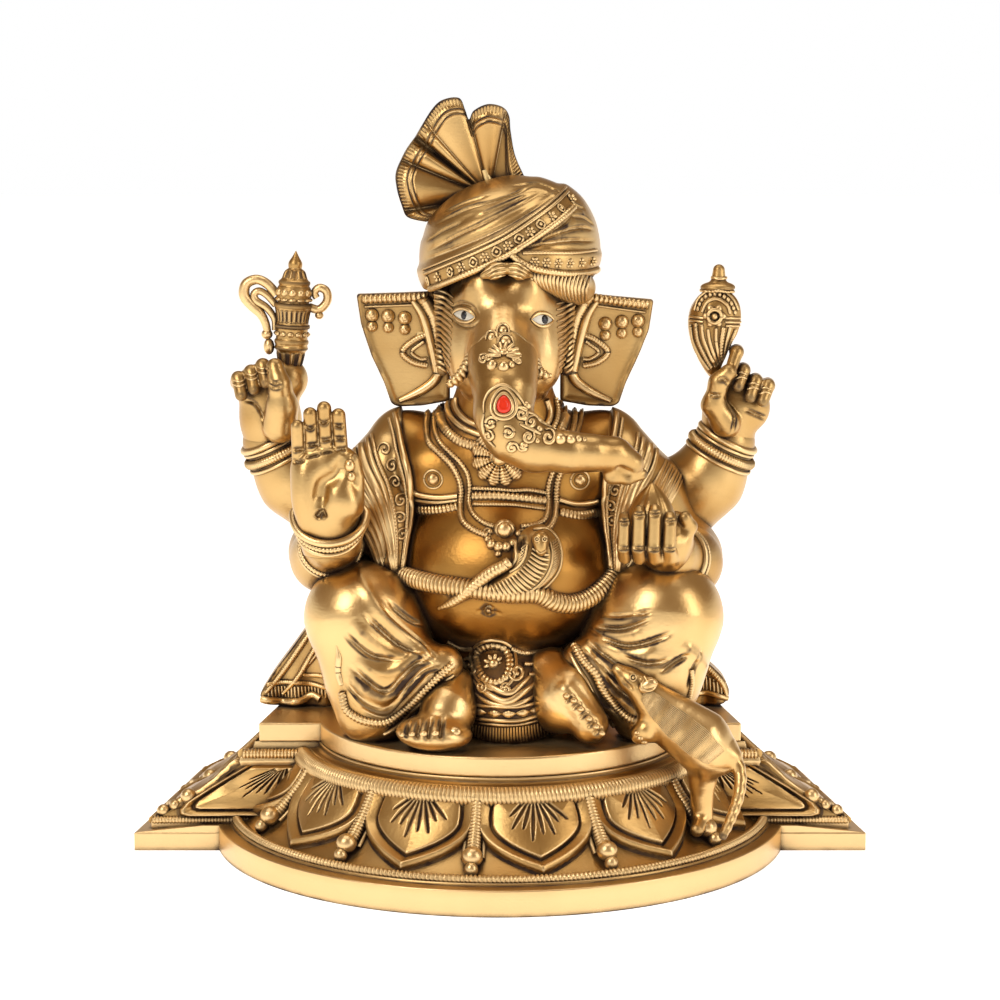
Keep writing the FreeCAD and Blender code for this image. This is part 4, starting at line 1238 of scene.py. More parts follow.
def torso_field(p):
    """Round belly under a broad chest, with shoulders, hips and neck."""
    d = join(ball(p, (3, -6, 122), (51, 50, 41)), ball(p, (3, 4, 163), (50, 36, 30)), 8)
    for x in (-26, 31):
        d = join(d, ball(p, (x, -13.5, 164), (19, 14.5, 16)), 8)
        d = join(d, ball(p, (3 + (x - 3) * 1.5, 4, 174), 15), 9)
    d = join(d, ball(p, (2, 14, 80), (64, 42, 32)), 8)
    d = join(d, limb(p, [(2, 0, 182, 26), (2, -8, 202, 20)]), 8)
    d = join(d, ball(p, (4, -28, 68), (22, 32, 27)), 5)
    return np.maximum(d, SEAT_LEVEL - p[2])


def right_leg_field(p):
    """Thigh, raised knee, shin under the cloth, and the cloth that hangs between knee and foot."""
    d = limb(p, [(-34, 18, 92, 27), (-50, -12, 102, 25), (-59.5, -36, 105, 22), (-56.5, -41, 82, 17),
                 (-54, -43, 67, 16)], 8)
    d = join(d, limb(p, [(-52, -34, 98, 21), (-39, -44, 84, 14), (-24, -46, 86.5, 8.5)], 6), 7)
    return np.maximum(d, SEAT_LEVEL - p[2])


def left_leg_field(p):
    d = limb(p, [(38, 18, 92, 27), (54, -12, 102, 25), (69.5, -35, 105, 23.8), (66.5, -41, 84, 19),
                 (63.5, -43, 67, 17)], 8)
    d = join(d, limb(p, [(58, -34, 98, 21), (42, -44, 82, 14), (34, -44, 88, 8)], 6), 7)
    return np.maximum(d, SEAT_LEVEL - p[2])


def right_foot_field(p):
    """Flat foot, seen from the toes."""
    d = limb(p, [(-20, -44, 74, 11), (-22, -54, 68, 10.5), (-27, -64, 62.5, 7)], 6)
    d = join(d, ball(p, (-27.5, -66, 61.5), (16.0, 14, 7.0), 4), 4)
    return np.maximum(d, SEAT_LEVEL - p[2])


def left_foot_field(p):
    """Foot that stands on its outer edge, with its toes down the side."""
    d = limb(p, [(22, -42, 82, 11), (28, -53, 75, 11), (37.5, -62, 64.5, 8)], 6)
    d = join(d, ball(p, (25, -47, 70), (13, 14, 13)), 6)
    d = join(d, bar(p, (27.5, -63.0, 79.0), (40.6, -68.4, 63.0), 3.4, 3.0), 2.5)
    return np.maximum(d, SEAT_LEVEL - p[2])


SHAWL_FOOT, SHAWL_LIFT = 118, 1.9       # lowest level of the shawl on the chest, and its thickness
SHAWL_LEVELS = (118, 132, 146, 156, 168, 180, 192)
RIGHT_SHAWL_EDGE = (-44, -40, -37.5, -36.5, -38.5, -41.5, -43)     # x of its inner edge at those levels
LEFT_SHAWL_EDGE = (50, 46, 44, 43.5, 45.5, 48, 49)


def draped_arm_field(p, side, arm, sleeve, shawl_edge):
    """Arm in a draped sleeve, with the end of the shawl over the shoulder and the side of the chest."""
    d = join(limb(p, arm, 8), limb(p, sleeve, 8), 6)
    cloth = torso_field(p) - SHAWL_LIFT
    inner = np.interp(p[2], SHAWL_LEVELS, shawl_edge)
    return join(d, np.maximum(np.maximum(cloth, side * (inner - p[0])), SHAWL_FOOT - p[2]), 1.5)


def lower_right_arm_field(p):
    arm = [(-43, 4, 171, 16.4), (-57, 4, 152, 17.8), (-76, 6, 126, 15), (-75, -20, 128, 13.5),
           (-71, -40, 138, 12)]
    sleeve = [(-48, -5, 166, 14.5), (-50, -18, 146, 12.0), (-46, -27, 129, 9.0)]
    return draped_arm_field(p, -1, arm, sleeve, RIGHT_SHAWL_EDGE)


def lower_left_arm_field(p):
    arm = [(47.5, 4, 172, 16.6), (61.5, 4, 152, 17.8), (81, 7, 124, 15), (80, -20, 126, 14), (72, -38, 132, 12)]
    sleeve = [(54, -5, 166, 14.5), (56, -18, 146, 12.0), (52, -27, 129, 9.0)]
    return draped_arm_field(p, 1, arm, sleeve, LEFT_SHAWL_EDGE)


def upper_right_arm_field(p):
    """Arm that goes out behind the lower one and turns up at the elbow."""
    d = limb(p, [(-40, 22, 158, 16), (-72, 18, 144, 17), (-90, 14, 157, 15), (-100, 12, 174, 13)], 9)
    return join(d, limb(p, [(-46, 18, 167, 12.5), (-58, 16, 153, 13.5)]), 6)


def upper_left_arm_field(p):
    d = limb(p, [(46, 22, 158, 16), (76, 18, 144, 17), (91, 14, 157, 15), (99, 12, 174, 13)], 9)
    return join(d, limb(p, [(50, 18, 167, 12.5), (62, 16, 152, 13.5)]), 6)


def necklaces(shell, field):
    """Long and short cords over the chest, and the ribbed collar."""
    cords = (([(-31.4, 193.2), (-31.5, 187.7), (-31.4, 181.8), (-29.9, 177.6), (-24.9, 173.3), (-20.6, 169.2),
               (-17.5, 163.7), (-16.4, 158.0), (-16.6, 151.3), (-15.6, 147.3), (-11.4, 144.4), (-5.1, 142.2)],
              1.25, 1.0),
             ([(-28.2, 193.3), (-28.4, 187.5), (-27.7, 182.1), (-25.6, 178.3), (-21.2, 174.2), (-17.1, 170.5),
               (-13.8, 165.7), (-12.8, 159.4), (-12.9, 153.4), (-11.2, 150.0), (-7.0, 147.1), (-2.3, 145.6)],
              1.05, 1.0),
             ([(33.0, 191.8), (31.9, 185.0), (29.4, 177.7), (27.1, 169.3), (24.7, 163.7), (23.8, 158.0),
               (23.6, 152.5), (22.8, 147.8), (20.0, 144.3), (15.1, 143.6)], 1.25, 1.0),
             ([(28.6, 191.3), (26.6, 182.7), (24.6, 174.5), (22.8, 167.8), (20.9, 162.2), (20.2, 156.6),
               (20.2, 151.5), (18.8, 148.0), (15.1, 146.2), (8.8, 145.6)], 1.05, 1.0),
             ([(-22.6, 194.5), (-22.0, 190.2), (-20.2, 187.6), (-16.9, 185.0), (-12.6, 183.1), (-6.0, 181.2)],
              1.2, 0.0),
             ([(-18.6, 195.6), (-18.3, 192.3), (-16.4, 189.4), (-12.6, 186.9), (-6.5, 185.0)], 1.2, 0.0),
             ([(19.6, 195.9), (21.0, 190.8), (19.9, 186.1), (14.0, 182.0)], 1.2, 0.0),
             ([(23.6, 195.3), (24.4, 189.4), (22.3, 184.1), (16.0, 179.0)], 1.2, 1.1),
             ([(36.2, 191.7), (34.9, 186.0), (32.3, 180.0), (30.8, 172.0)], 1.0, 1.1))
    for line, size, pitch in cords:
        rope(shell, front_line(field, line, 0.33, size * 0.35), size * 1.16, pitch * 1.45, 0.36, 0.4)
    collar = [(-26.0, 194.3), (-26.0, 188.6), (-24.4, 184.6), (-21.0, 181.0), (-16.0, 178.4), (-9.0, 177.0),
              (0, 176.4)]
    for line in (collar, [(28, 188), (24, 180), (17, 176), (8, 175)]):
        rope(shell, front_line(field, line, 0.33, 0.3), 2.5, 1.6, 0.32, 0.5, hint=FRONT, flat=0.6)


def pendant(shell, field):
    """Daisy of ribbed petals round a boss."""
    centre = (-0.1, 172.6)
    for k in range(12):
        a = TAU * (k + 0.5) / 12
        line = [(centre[0] + r * math.cos(a), centre[1] + r * math.sin(a)) for r in (3.6, 7.5, 12.0)]
        rope(shell, front_line(field, line, 0.3, 0.9), 3.0, 1.35, 0.26, 0.0, hint=FRONT, flat=0.62,
             taper=(0.35, 0.5, 0.68, 0.85, 1.0, 1.0, 0.85, 0.25), sides=14)
    middle_spot = spot(field, *centre)
    pebble(shell, middle_spot, (5.0, 5.0, 2.0), FRONT)
    pebble(shell, middle_spot + (0, -1.6, 0), (3.4, 3.4, 2.4), FRONT)
    for x, z in ((-8.0, 178.6), (-8.4, 174.8)):
        curl(shell, field, (x, z), 2.0, 1.2, 0.5, 1, 0.8, 0.5)


def chest_band(shell, field):
    """Woven band across the chest, between and beside the long cords."""
    for line, size, pitch, flat in (
            ([(-11.5, 159.7), (-1.7, 159.5), (5.4, 158.9), (12.4, 159.1), (19.4, 157.6)], 1.0, 0.9, 1.0),
            ([(-11.5, 156.3), (-1.7, 156.6), (7.5, 155.9), (19.4, 154.3)], 2.0, 1.5, 0.6),
            ([(-11.4, 153.3), (-1.7, 153.6), (7.4, 153.3), (19.3, 151.6)], 0.8, 0.9, 1.0),
            ([(-37.1, 157.6), (-34.1, 156.0), (-26.3, 155.4), (-17.9, 156.2)], 1.1, 0.0, 1.0),
            ([(-38.5, 154.2), (-34.1, 153.6), (-26.3, 153.2), (-17.9, 154.2)], 0.8, 0.0, 1.0),
            ([(-39.7, 149.6), (-35.0, 149.2), (-26.3, 149.8), (-17.8, 151.8)], 2.0, 1.5, 0.6),
            ([(24.9, 154.6), (32.2, 152.4), (39.0, 152.6), (41.6, 153.2)], 1.1, 0.0, 1.0),
            ([(24.9, 149.9), (33.6, 147.6), (39.0, 147.6), (42.0, 148.2)], 2.1, 1.5, 0.6)):
        rope(shell, front_line(field, line, 0.33, 0.3), size * 1.1, pitch * 1.3, 0.34, 0.4, hint=FRONT,
             flat=flat)


def clasp(shell, field):
    """Boss, beads and scrolls where the long cords meet over the belly."""
    seat = spot(field, 1.9, 144.5)
    pebble(shell, seat, (4.8, 4.8, 2.4), FRONT)
    pebble(shell, seat + (0, -2.0, 0.4), (3.4, 3.4, 2.2), FRONT)
    for x, z, size in ((-5.2, 141.2, 1.5), (-3.7, 139.2, 2.2), (-0.5, 138.2, 2.3), (2.6, 138.2, 2.2),
                       (5.3, 139.6, 1.9), (-4.2, 144.0, 1.3), (7.6, 143.2, 1.4), (-0.8, 135.4, 1.4)):
        pebble(shell, spot(field, x, z, 0.6), (size, size, size), FRONT)
    for centre, start, way in (((-5.2, 143.0), 0.0, 1), ((9.4, 142.6), math.pi, -1)):
        curl(shell, field, centre, 2.2, 1.2, start, way)


def belt(shell, field):
    """Waist belt with a rosette buckle, and the pleated apron that hangs from it."""
    buckle = (-2.7, 87.4)
    angle = np.linspace(0, TAU, 24, endpoint=False)
    for reach, thick, pitch, flat in ((6.9, 1.9, 2.4, 0.55), (9.6, 0.8, 0.0, 0.8)):
        ring = [(buckle[0] + reach * math.cos(a), buckle[1] + reach * math.sin(a)) for a in angle]
        rope(shell, front_line(field, ring, 0.35, 0.2, closed=True), thick, pitch, 0.35, 0.0, closed=True,
             hint=FRONT, flat=flat)
    rosette(shell, spot(field, *buckle, 0.4), FRONT, 4.4, 9, 0.4)
    pebble(shell, spot(field, *buckle, 1.2), (2.2, 2.2, 1.6), FRONT)
    for centre, size, start, way in (((7.0, 84.6), 3.6, 2.4, 1), ((-12.6, 84.4), 3.2, 0.6, -1),
                                     ((2.6, 78.2), 2.6, 1.0, 1), ((-7.6, 78.2), 2.6, 2.0, -1)):
        curl(shell, field, centre, size, 1.4, start, way, 0.85, 0.4)
    for line, size, pitch in (
            ([(4.9, 92.6), (10.3, 90.6), (18.7, 90.0), (27.4, 90.8), (34.1, 95.0)], 1.4, 1.1),
            ([(9.9, 87.2), (17.3, 86.2), (24.3, 86.2), (31.3, 90.7)], 1.1, 1.1),
            ([(11.9, 83.4), (17.3, 82.6), (23.3, 83.2)], 0.9, 0.0),
            ([(-10.9, 92.0), (-16.3, 91.0), (-22.3, 94.0)], 1.3, 1.1)):
        rope(shell, front_line(field, line, 0.35, 0.3), size, pitch, 0.24, 0.0)
    for line, size in (([(-12.5, 80.5), (-5.8, 76.4), (2.5, 73.4), (9.5, 76.9), (17.5, 81.3)], 1.5),
                       ([(-10.7, 82.9), (-3.7, 79.0), (3.6, 76.8), (8.4, 79.6), (14.0, 84.0)], 1.3),
                       ([(-13.4, 76.6), (-6.0, 73.0), (2.4, 71.6), (9.5, 73.2), (17.8, 76.6)], 1.1)):
        rope(shell, front_line(field, line, 0.5, 0.1), size, hint=FRONT, flat=0.8, taper=(0.3, 1, 1.2, 1, 0.3))
    for line, size, pitch in (([(-13.4, 70.3), (-1.6, 71.2), (8.8, 71.4), (19.4, 72.9)], 0.8, 0.0),
                              ([(-13.0, 64.7), (-1.6, 65.4), (8.8, 65.6), (20.4, 67.7)], 0.9, 0.0),
                              ([(-13.0, 63.0), (-1.6, 63.5), (8.8, 63.8), (21.0, 65.4)], 0.7, 0.9)):
        rope(shell, front_line(field, line, 0.35, 0.3), size, pitch, 0.24, 0.0)
    for x, z in ((-8.6, 67.9), (-2.3, 68.2), (3.6, 68.3), (9.6, 68.6), (15.2, 69.2)):
        rope(shell, front_line(field, [(x - 2.9, z), (x, z), (x + 2.9, z + 0.2)], 0.25, 0.2), 1.9, 0.8, 0.2,
             0.0, hint=FRONT, flat=0.5, taper=(0.15, 0.7, 1, 0.7, 0.15))
    tassels = 30
    for k in range(tassels):
        x = -13.5 + 35.0 * k / (tassels - 1)
        top = 62.6 + 0.05 * (x - 4)
        strand = [(x, top), (x * 1.02, top - 3.5), (x * 1.05, 55.4 + 0.5 * (k % 2))]
        rope(shell, front_line(field, strand, 0.8, 0.2), 0.62, taper=(0.8, 1, 1, 0.6), sides=6)


def back_ornament(shell, field):
    """Cords, shawl folds, chest band and waist sash carried round the back."""
    for ends, sag, size, pitch, flat in ((193, 184, 1.3, 1.6, 1.0), (191, 180, 1.3, 1.6, 1.0),
                                         (180, 175, 1.6, 0.0, 0.8), (178, 171.5, 1.3, 0.0, 0.8),
                                         (176, 168, 1.3, 0.0, 0.8), (174, 164, 2.0, 1.5, 0.8),
                                         (156, 156, 1.2, 1.3, 1.0), (152.6, 152.6, 2.2, 1.6, 0.6),
                                         (149.4, 149.4, 1.0, 1.3, 1.0), (99, 98, 1.1, 1.3, 1.0),
                                         (95.6, 94.6, 2.4, 1.8, 0.6), (92, 91, 1.1, 1.3, 1.0)):
        half = 24 if ends > 190 else 44
        line = [(3 - half, ends), (3 - half * 0.6, sag + (ends - sag) * 0.3), (3, sag),
                (3 + half * 0.6, sag + (ends - sag) * 0.3), (3 + half, ends)]
        rope(shell, back_line(field, line), size, pitch, 0.3, 0.4, hint=FRONT, flat=flat)


APRON_SHADE, APRON_TOP = 0.65, 97.0     # painted shade on the apron between the legs, and how high it reaches


def torso():
    """Body with its navel, nipples, cords, chest band, belt and apron."""
    shell = Shell()
    field = torso_field
    sculpt(shell, field, (-66, -64, 54), (72, 58, 206), 0.7)
    skin = shell.points[-1]
    # painted shade on the apron between the legs, below the belt and in front
    between_legs = step(APRON_TOP - skin[:, 2], 1.5) * step(-skin[:, 1] - 20, 3)
    shell.patina_and_shade.append((np.arange(len(skin)), APRON_SHADE * between_legs))
    pleats = [back_line(field, [(3 + 5.5 * k, 89), (3 + 6.6 * k, 76), (3 + 8.0 * k, 60)], 1.0)
              for k in range(-5, 6)]
    etch(shell, field, pleats, 1.3, 1.1, 0.5)
    grooves(shell, field, [[(-10.0, 110.2), (-7.6, 111.0), (-1.8, 110.6), (0.7, 109.6)],
                           [(-24, 118.0), (-18, 116.4), (-12, 116.9)]], 0.5, 0.5)
    navel = (-4.8, 111.3)
    grooves(shell, field, [[(navel[0] + 1.5 * math.cos(a), navel[1] + 1.5 * math.sin(a))
                            for a in np.linspace(0, 6.28, 9)]], 0.8, 1.6)
    pebble(shell, spot(field, *navel, -0.3), (0.9, 0.9, 0.9), FRONT, cols=8, rows=6)
    for x, z in ((-28.5, 163.2), (34.0, 162.9)):
        eyed_loop(shell, field, (x, z), 3.9, 0.5, 0.0)
        pebble(shell, spot(field, x, z, 0.2), (2.6, 2.6, 1.9), FRONT)
    necklaces(shell, field)
    pendant(shell, field)
    chest_band(shell, field)
    clasp(shell, field)
    belt(shell, field)
    back_ornament(shell, field)
    # the torso takes the darker copy of the brass, which is painted shade
    return piece("torso_visual", shell, SHADED_BODY_BRASS, "figure_brass", "torso")


# ---- legs and feet -----------------------------------------------------------------------------------
def right_leg():
    """Leg in draped cloth with soft ridges, deep folds and two hems."""
    shell = Shell()
    field = right_leg_field
    sculpt(shell, field, (-84, -68, 54), (-6, 46, 132), 0.6)
    ridges = [[(-60.0, 127.0), (-52.6, 115.1), (-46.5, 107.0), (-37.3, 98.4), (-26, 91)],
              [(-62, 108), (-53, 99), (-44, 93.6), (-34, 92)],
              [(-60, 92), (-52, 86.5), (-44, 87), (-36, 92), (-27, 90)],
              [(-63, 84.5), (-56, 78.6), (-49.5, 74.6), (-44.6, 76.6), (-38, 84), (-29, 90)],
              [(-64, 79), (-59, 73.4), (-53, 70), (-47, 69), (-41.5, 74.6), (-34, 82.6), (-26, 86.4)]]
    etch(shell, field, [front_line(field, line, 1.2) for line in ridges], 2.6, -1.3)
    grooves(shell, field, [
        [(-46.2, 114.5), (-38.8, 107.2), (-32.5, 102.7)],
        [(-50.8, 114.4), (-45.6, 108.3), (-39.3, 102.2), (-33.5, 97.3), (-27.1, 91.1)],
        [(-56.6, 110.8), (-50.2, 104.1), (-43.3, 97.6), (-36.4, 94.0), (-26.6, 88.7)],
        [(-64.8, 102.5), (-59.6, 97.2), (-53.8, 93.0), (-46.8, 91.5), (-40.6, 91.9)]], 0.8, 1.7)
    grooves(shell, field, [
        [(-62.0, 87.8), (-56.1, 82.5), (-50.3, 78.0), (-45.7, 78.4), (-41.6, 83.0), (-35.2, 89.0),
         (-28.8, 92.0)],
        [(-64.4, 81.8), (-59.7, 75.8), (-53.9, 71.5), (-48.1, 70.0), (-43.4, 73.5), (-39.2, 79.6),
         (-33.4, 86.1), (-26, 88.0)],
        [(-63.8, 77.3), (-58.6, 72.0), (-52.7, 68.0), (-46.9, 67.2), (-42.2, 71.2), (-36.3, 78.0),
         (-30.5, 83.9), (-24.4, 85)],
        [(-47.1, 60.0), (-41.2, 65.5), (-35.2, 71.4), (-29.3, 77.4), (-24, 80)]], 1.0, 2.3)
    hem = [(-66.1, 77.4), (-64.7, 70.3), (-61.0, 66.9), (-55.2, 64.8), (-48.6, 64.2), (-43.5, 66.4),
           (-37.7, 71.4), (-31.7, 77.9), (-25.8, 83.5), (-19.9, 88.0)]
    rope(shell, front_line(field, hem, 0.33, 0.3), 2.0, 1.6, 0.34, 0.8)
    edge = [(-49, 58.6), (-43.2, 62.0), (-37.2, 67.4), (-31.0, 73.4), (-25, 79.4), (-19.6, 83.6)]
    rope(shell, front_line(field, edge, 0.5, 0.1), 1.5, taper=(0.6, 1, 1, 0.5))
    stripe = [(-68.6, 97.0), (-67.6, 92.0), (-67.9, 85.6), (-66.6, 80.2)]
    rope(shell, front_line(field, stripe, 0.5, -0.2), 1.5, taper=(0.2, 1, 1, 0.8))
    return piece("right_leg_visual", shell, PAINTED_LIGHT_BRASS, "figure_brass", "right_leg")


def left_leg():
    shell = Shell()
    field = left_leg_field
    sculpt(shell, field, (10, -68, 54), (96, 46, 132), 0.6)
    ridges = [[(41, 106), (50, 106.6), (60, 110)], [(40, 100.5), (50, 100.4), (60, 103)],
              [(40, 98), (50, 94.2), (58, 93.2), (66, 95)], [(37, 95), (43, 90.2), (50, 85.4), (57, 79)],
              [(35.5, 93), (40.8, 88.0), (45.4, 80.6), (50.6, 74.0)], [(76, 98), (83, 92), (88, 84)]]
    etch(shell, field, [front_line(field, line, 1.2) for line in ridges], 2.4, -1.2)
    grooves(shell, field, [
        [(43.8, 107.6), (53.2, 109.1), (62.9, 111.6)],
        [(40.3, 102.6), (50.9, 103.6), (57.7, 106.4), (62.3, 108.4)],
        [(37.8, 101.4), (45.1, 98.7), (52.0, 96.8), (58.9, 97.9), (65.8, 100.3), (72.0, 103.0)],
        [(43.1, 97.6), (52.0, 93.1), (57.8, 90.6), (63.5, 90.1), (71.4, 91.9)],
        [(37.1, 97.8), (42.1, 93.5), (48.5, 89.3), (54.3, 83.8)],
        [(84.6, 95.4), (83.0, 91.2), (80.4, 84.2), (79, 79)],
        [(67.0, 86.7), (72.9, 90.4), (78.9, 93.4)]], 0.8, 1.8)
    grooves(shell, field, [[(37.4, 95.3), (42.4, 86.9), (47.7, 79.9), (53.4, 74.3), (59.6, 69.9)],
                           [(33.5, 93.3), (38.6, 85.0), (41.6, 78.0), (45.4, 71.0), (51.0, 64.6)],
                           [(36.2, 94.6), (43.2, 89.0), (49.0, 83.0), (54.0, 78.6)]], 1.0, 2.2)
    hem = [(31.7, 94.8), (35.6, 89.5), (40.3, 84.9), (43.2, 79.0), (46.3, 74.3), (49.9, 69.6), (54.5, 66.0),
           (59.2, 65.2)]
    rope(shell, front_line(field, hem, 0.33, 0.3), 2.0, 1.6, 0.34, -0.8)
    edge = [(29.6, 92.2), (33.4, 86.0), (37.4, 79.5), (40.6, 72.1), (44.4, 65.4), (48.6, 60.2)]
    rope(shell, front_line(field, edge, 0.5, 0.2), 1.6, taper=(0.6, 1, 1, 0.7))
    rope(shell, front_line(field, [(80.2, 86.7), (80.6, 80.5), (79.2, 73.9)], 0.33, 0.1), 1.3, 1.1, 0.24)
    return piece("left_leg_visual", shell, PAINTED_LIGHT_BRASS, "figure_brass", "left_leg")


def feet():
    """Two feet with gaps between the toes and a nail on each."""
    shell = Shell()
    field = right_foot_field
    sculpt(shell, field, (-48, -84, 54), (-6, -30, 90), 0.45)
    gaps = [[(-37.4, 67.4), (-38.6, 65.0), (-39.0, 62.0)], [(-33.0, 68.4), (-34.2, 65.6), (-34.6, 61.8)],
            [(-28.6, 69.0), (-29.6, 66.0), (-29.8, 61.6)], [(-23.6, 69.2), (-24.4, 66.4), (-24.4, 62.0)]]
    grooves(shell, field, gaps, 0.85, 1.9)
    for x, z, size in ((-40.4, 62.6, 1.5), (-36.3, 63.6, 1.6), (-31.6, 64.2, 1.8), (-26.8, 64.4, 1.9),
                       (-18.6, 64.4, 2.7)):
        pebble(shell, spot(field, x, z, -0.5), (size, size * 0.8, 1.2), (0, -1, 0.5), cols=10, rows=6)
    piece("right_foot_visual", shell, PAINTED_LIGHT_BRASS, "figure_brass", "right_foot")
    shell = Shell()
    field = left_foot_field
    sculpt(shell, field, (6, -80, 54), (52, -26, 100), 0.45)
    toes = [(27.7, 77.6), (30.7, 75.8), (33.6, 72.4), (37.0, 68.6), (39.9, 65.4), (42.3, 62.6)]
    for (x1, z1), (x2, z2) in zip(toes, toes[1:]):
        x, z = (x1 + x2) / 2, (z1 + z2) / 2
        grooves(shell, field, [[(x - 2.4, z - 1.8), (x, z), (x + 1.6, z + 1.2)]], 0.6, 1.0)
    for x, z in toes:
        pebble(shell, spot(field, x, z, -0.4), (1.7, 1.4, 1.3), (-0.3, -1, 0.4), cols=10, rows=6)
    return piece("left_foot_visual", shell, PAINTED_LIGHT_BRASS, "figure_brass", "left_foot")


# ---- arms --------------------------------------------------------------------------------------------
def scroll_strip(shell, field, line, size, count):
    """Border of running scrolls between two ribbed edges."""
    centre = smooth_line([(x, 0, z) for x, z in line], 0.5)
    for k in range(count):
        at = centre[int((k + 0.5) / count * (len(centre) - 1))]
        curl(shell, field, (at[0] + (0.5 if k % 2 else -0.5), at[2]), size, 1.25, (0.4 if k % 2 else 3.4),
             1 if k % 2 else -1, 0.62, 0.3)


def shawl_bands(shell, field, outer, inner, bands):
    """Plain and ribbed edges of the shawl, each part of the way from its outer to its inner line."""
    for share, size, pitch, flat in bands:
        rope(shell, front_line(field, between(outer, inner, share), 0.35, 0.2), size, pitch, 0.24, hint=FRONT,
             flat=flat, taper=(0.7, 1, 1, 0.9, 0.6))


def sleeve_folds(shell, field, upper, lower, thick):
    """Folds that fan over the sleeve, every second one thinner."""
    for k in range(8):
        rope(shell, front_line(field, between(upper, lower, k / 7), 0.7, 0.1), 1.15 if k % 2 else thick,
             hint=FRONT, flat=0.8, taper=(0.3, 1, 1, 0.9, 0.4))


def lower_right_arm():
    """Arm behind the raised palm, with the shawl over its shoulder and two bangles."""
    shell = Shell()
    field = lower_right_arm_field
    sculpt(shell, field, (-96, -56, 106), (-22, 30, 202), 0.65)
    outer = [(-62.7, 172.9), (-60.5, 166.1), (-57.3, 160.1), (-54.2, 154.9), (-50.6, 146.5), (-47.6, 136.0),
             (-46.0, 125.0)]
    inner = [(-45.0, 189.0), (-43.0, 182.8), (-41.2, 175.0), (-38.8, 167.6), (-37.8, 158.4), (-38.4, 144),
             (-41.4, 125)]
    bands = ((0.0, 1.5, 0.0, 1.0), (0.15, 2.2, 0.0, 0.6), (0.31, 1.4, 0.0, 0.8),
             (0.42, 1.2, 1.5, 1.0), (0.84, 1.1, 1.5, 1.0), (0.97, 1.5, 0.0, 0.8))
    shawl_bands(shell, field, outer, inner, bands)
    scroll_strip(shell, field, between(outer, inner, 0.63)[1:10], 3.0, 6)
    upper = [(-64.0, 166.0), (-58.7, 157.0), (-53.4, 150.1), (-50.1, 142.4), (-48.2, 134)]
    lower = [(-70, 152), (-63.0, 145.0), (-57.0, 138.0), (-53.0, 130.0), (-51.0, 122.0)]
    sleeve_folds(shell, field, upper, lower, 1.6)
    bangle(shell, field, (-71.8, -34.6, 135.4), (4, -20, 10), 13, 1.3, 1.5)
    bangle(shell, field, (-72.2, -31.8, 134), (4, -20, 10), 13, 0.9)
    return piece("lower_right_arm_visual", shell, FIGURE_BRASS, "figure_brass", "lower_right_arm")


def lower_left_arm():
    """Arm behind the giving hand, with the shawl over its shoulder and two bangles."""
    shell = Shell()
    field = lower_left_arm_field
    sculpt(shell, field, (26, -54, 104), (100, 30, 202), 0.65)
    outer = [(67.7, 172.9), (65.5, 166.1), (61.3, 160.1), (57.2, 152.9), (52.6, 141.5), (50.6, 125.0)]
    inner = [(50.0, 189.0), (48.6, 181.2), (46.8, 173.3), (44.8, 163.6), (44.6, 150.4), (47, 126)]
    bands = ((0.0, 1.5, 0.0, 1.0), (0.17, 2.4, 0.0, 0.6), (0.34, 1.4, 0.0, 0.8),
             (0.46, 1.2, 1.5, 1.0), (0.84, 1.1, 1.5, 1.0), (0.97, 1.5, 0.0, 0.8))
    shawl_bands(shell, field, outer, inner, bands)
    scroll_strip(shell, field, between(outer, inner, 0.65)[1:9], 2.8, 6)
    upper = [(72.0, 168.0), (66.7, 160.0), (60.4, 151.1), (55.1, 141.4), (51.2, 131)]
    lower = [(80, 160), (73.0, 151.0), (66.0, 142.0), (60.0, 133.0), (55.0, 126.0)]
    sleeve_folds(shell, field, upper, lower, 1.7)
    bangle(shell, field, (73.6, -32, 130), (-6, -18, 5), 13, 1.3)
    bangle(shell, field, (74.4, -29, 129.2), (-6, -18, 5), 13, 1.0, 1.2)
    return piece("lower_left_arm_visual", shell, FIGURE_BRASS, "figure_brass", "lower_left_arm")


def upper_arms():
    """Two raised arms with a stack of bangles at each wrist."""
    for side, node, field in ((-1, "upper_right_arm", upper_right_arm_field),
                              (1, "upper_left_arm", upper_left_arm_field)):
        shell = Shell()
        low, high = corners(node)
        sculpt(shell, field, low - 3, high + 3, 0.7)
        wrist = np.array((side * 99.0, 12.2, 171.6))
        axis = np.array((side * 8.0, -2.0, 17.0))
        axis /= np.linalg.norm(axis)
        for shift, thick, pitch, flat in ((4.6, 1.5, 0.0, 1.0), (2.2, 0.9, 0.0, 1.0), (-1.6, 2.3, 1.2, 1.0),
                                          (-5.4, 0.9, 0.0, 1.0)):
            bangle(shell, field, wrist + axis * shift, axis, 14, thick, pitch, flat)
        piece(node + "_visual", shell, FIGURE_BRASS, "figure_brass", node)


# ---- hands and what they hold ------------------------------------------------------------------------
PALM_FINGERS = (((-83.7, 170), (-83.9, 192.0), 2.75), ((-77.9, 172), (-78.6, 197.3), 2.95),
                ((-72.0, 173), (-72.8, 199.8), 3.0), ((-65.6, 172), (-66.9, 196.9), 2.95))


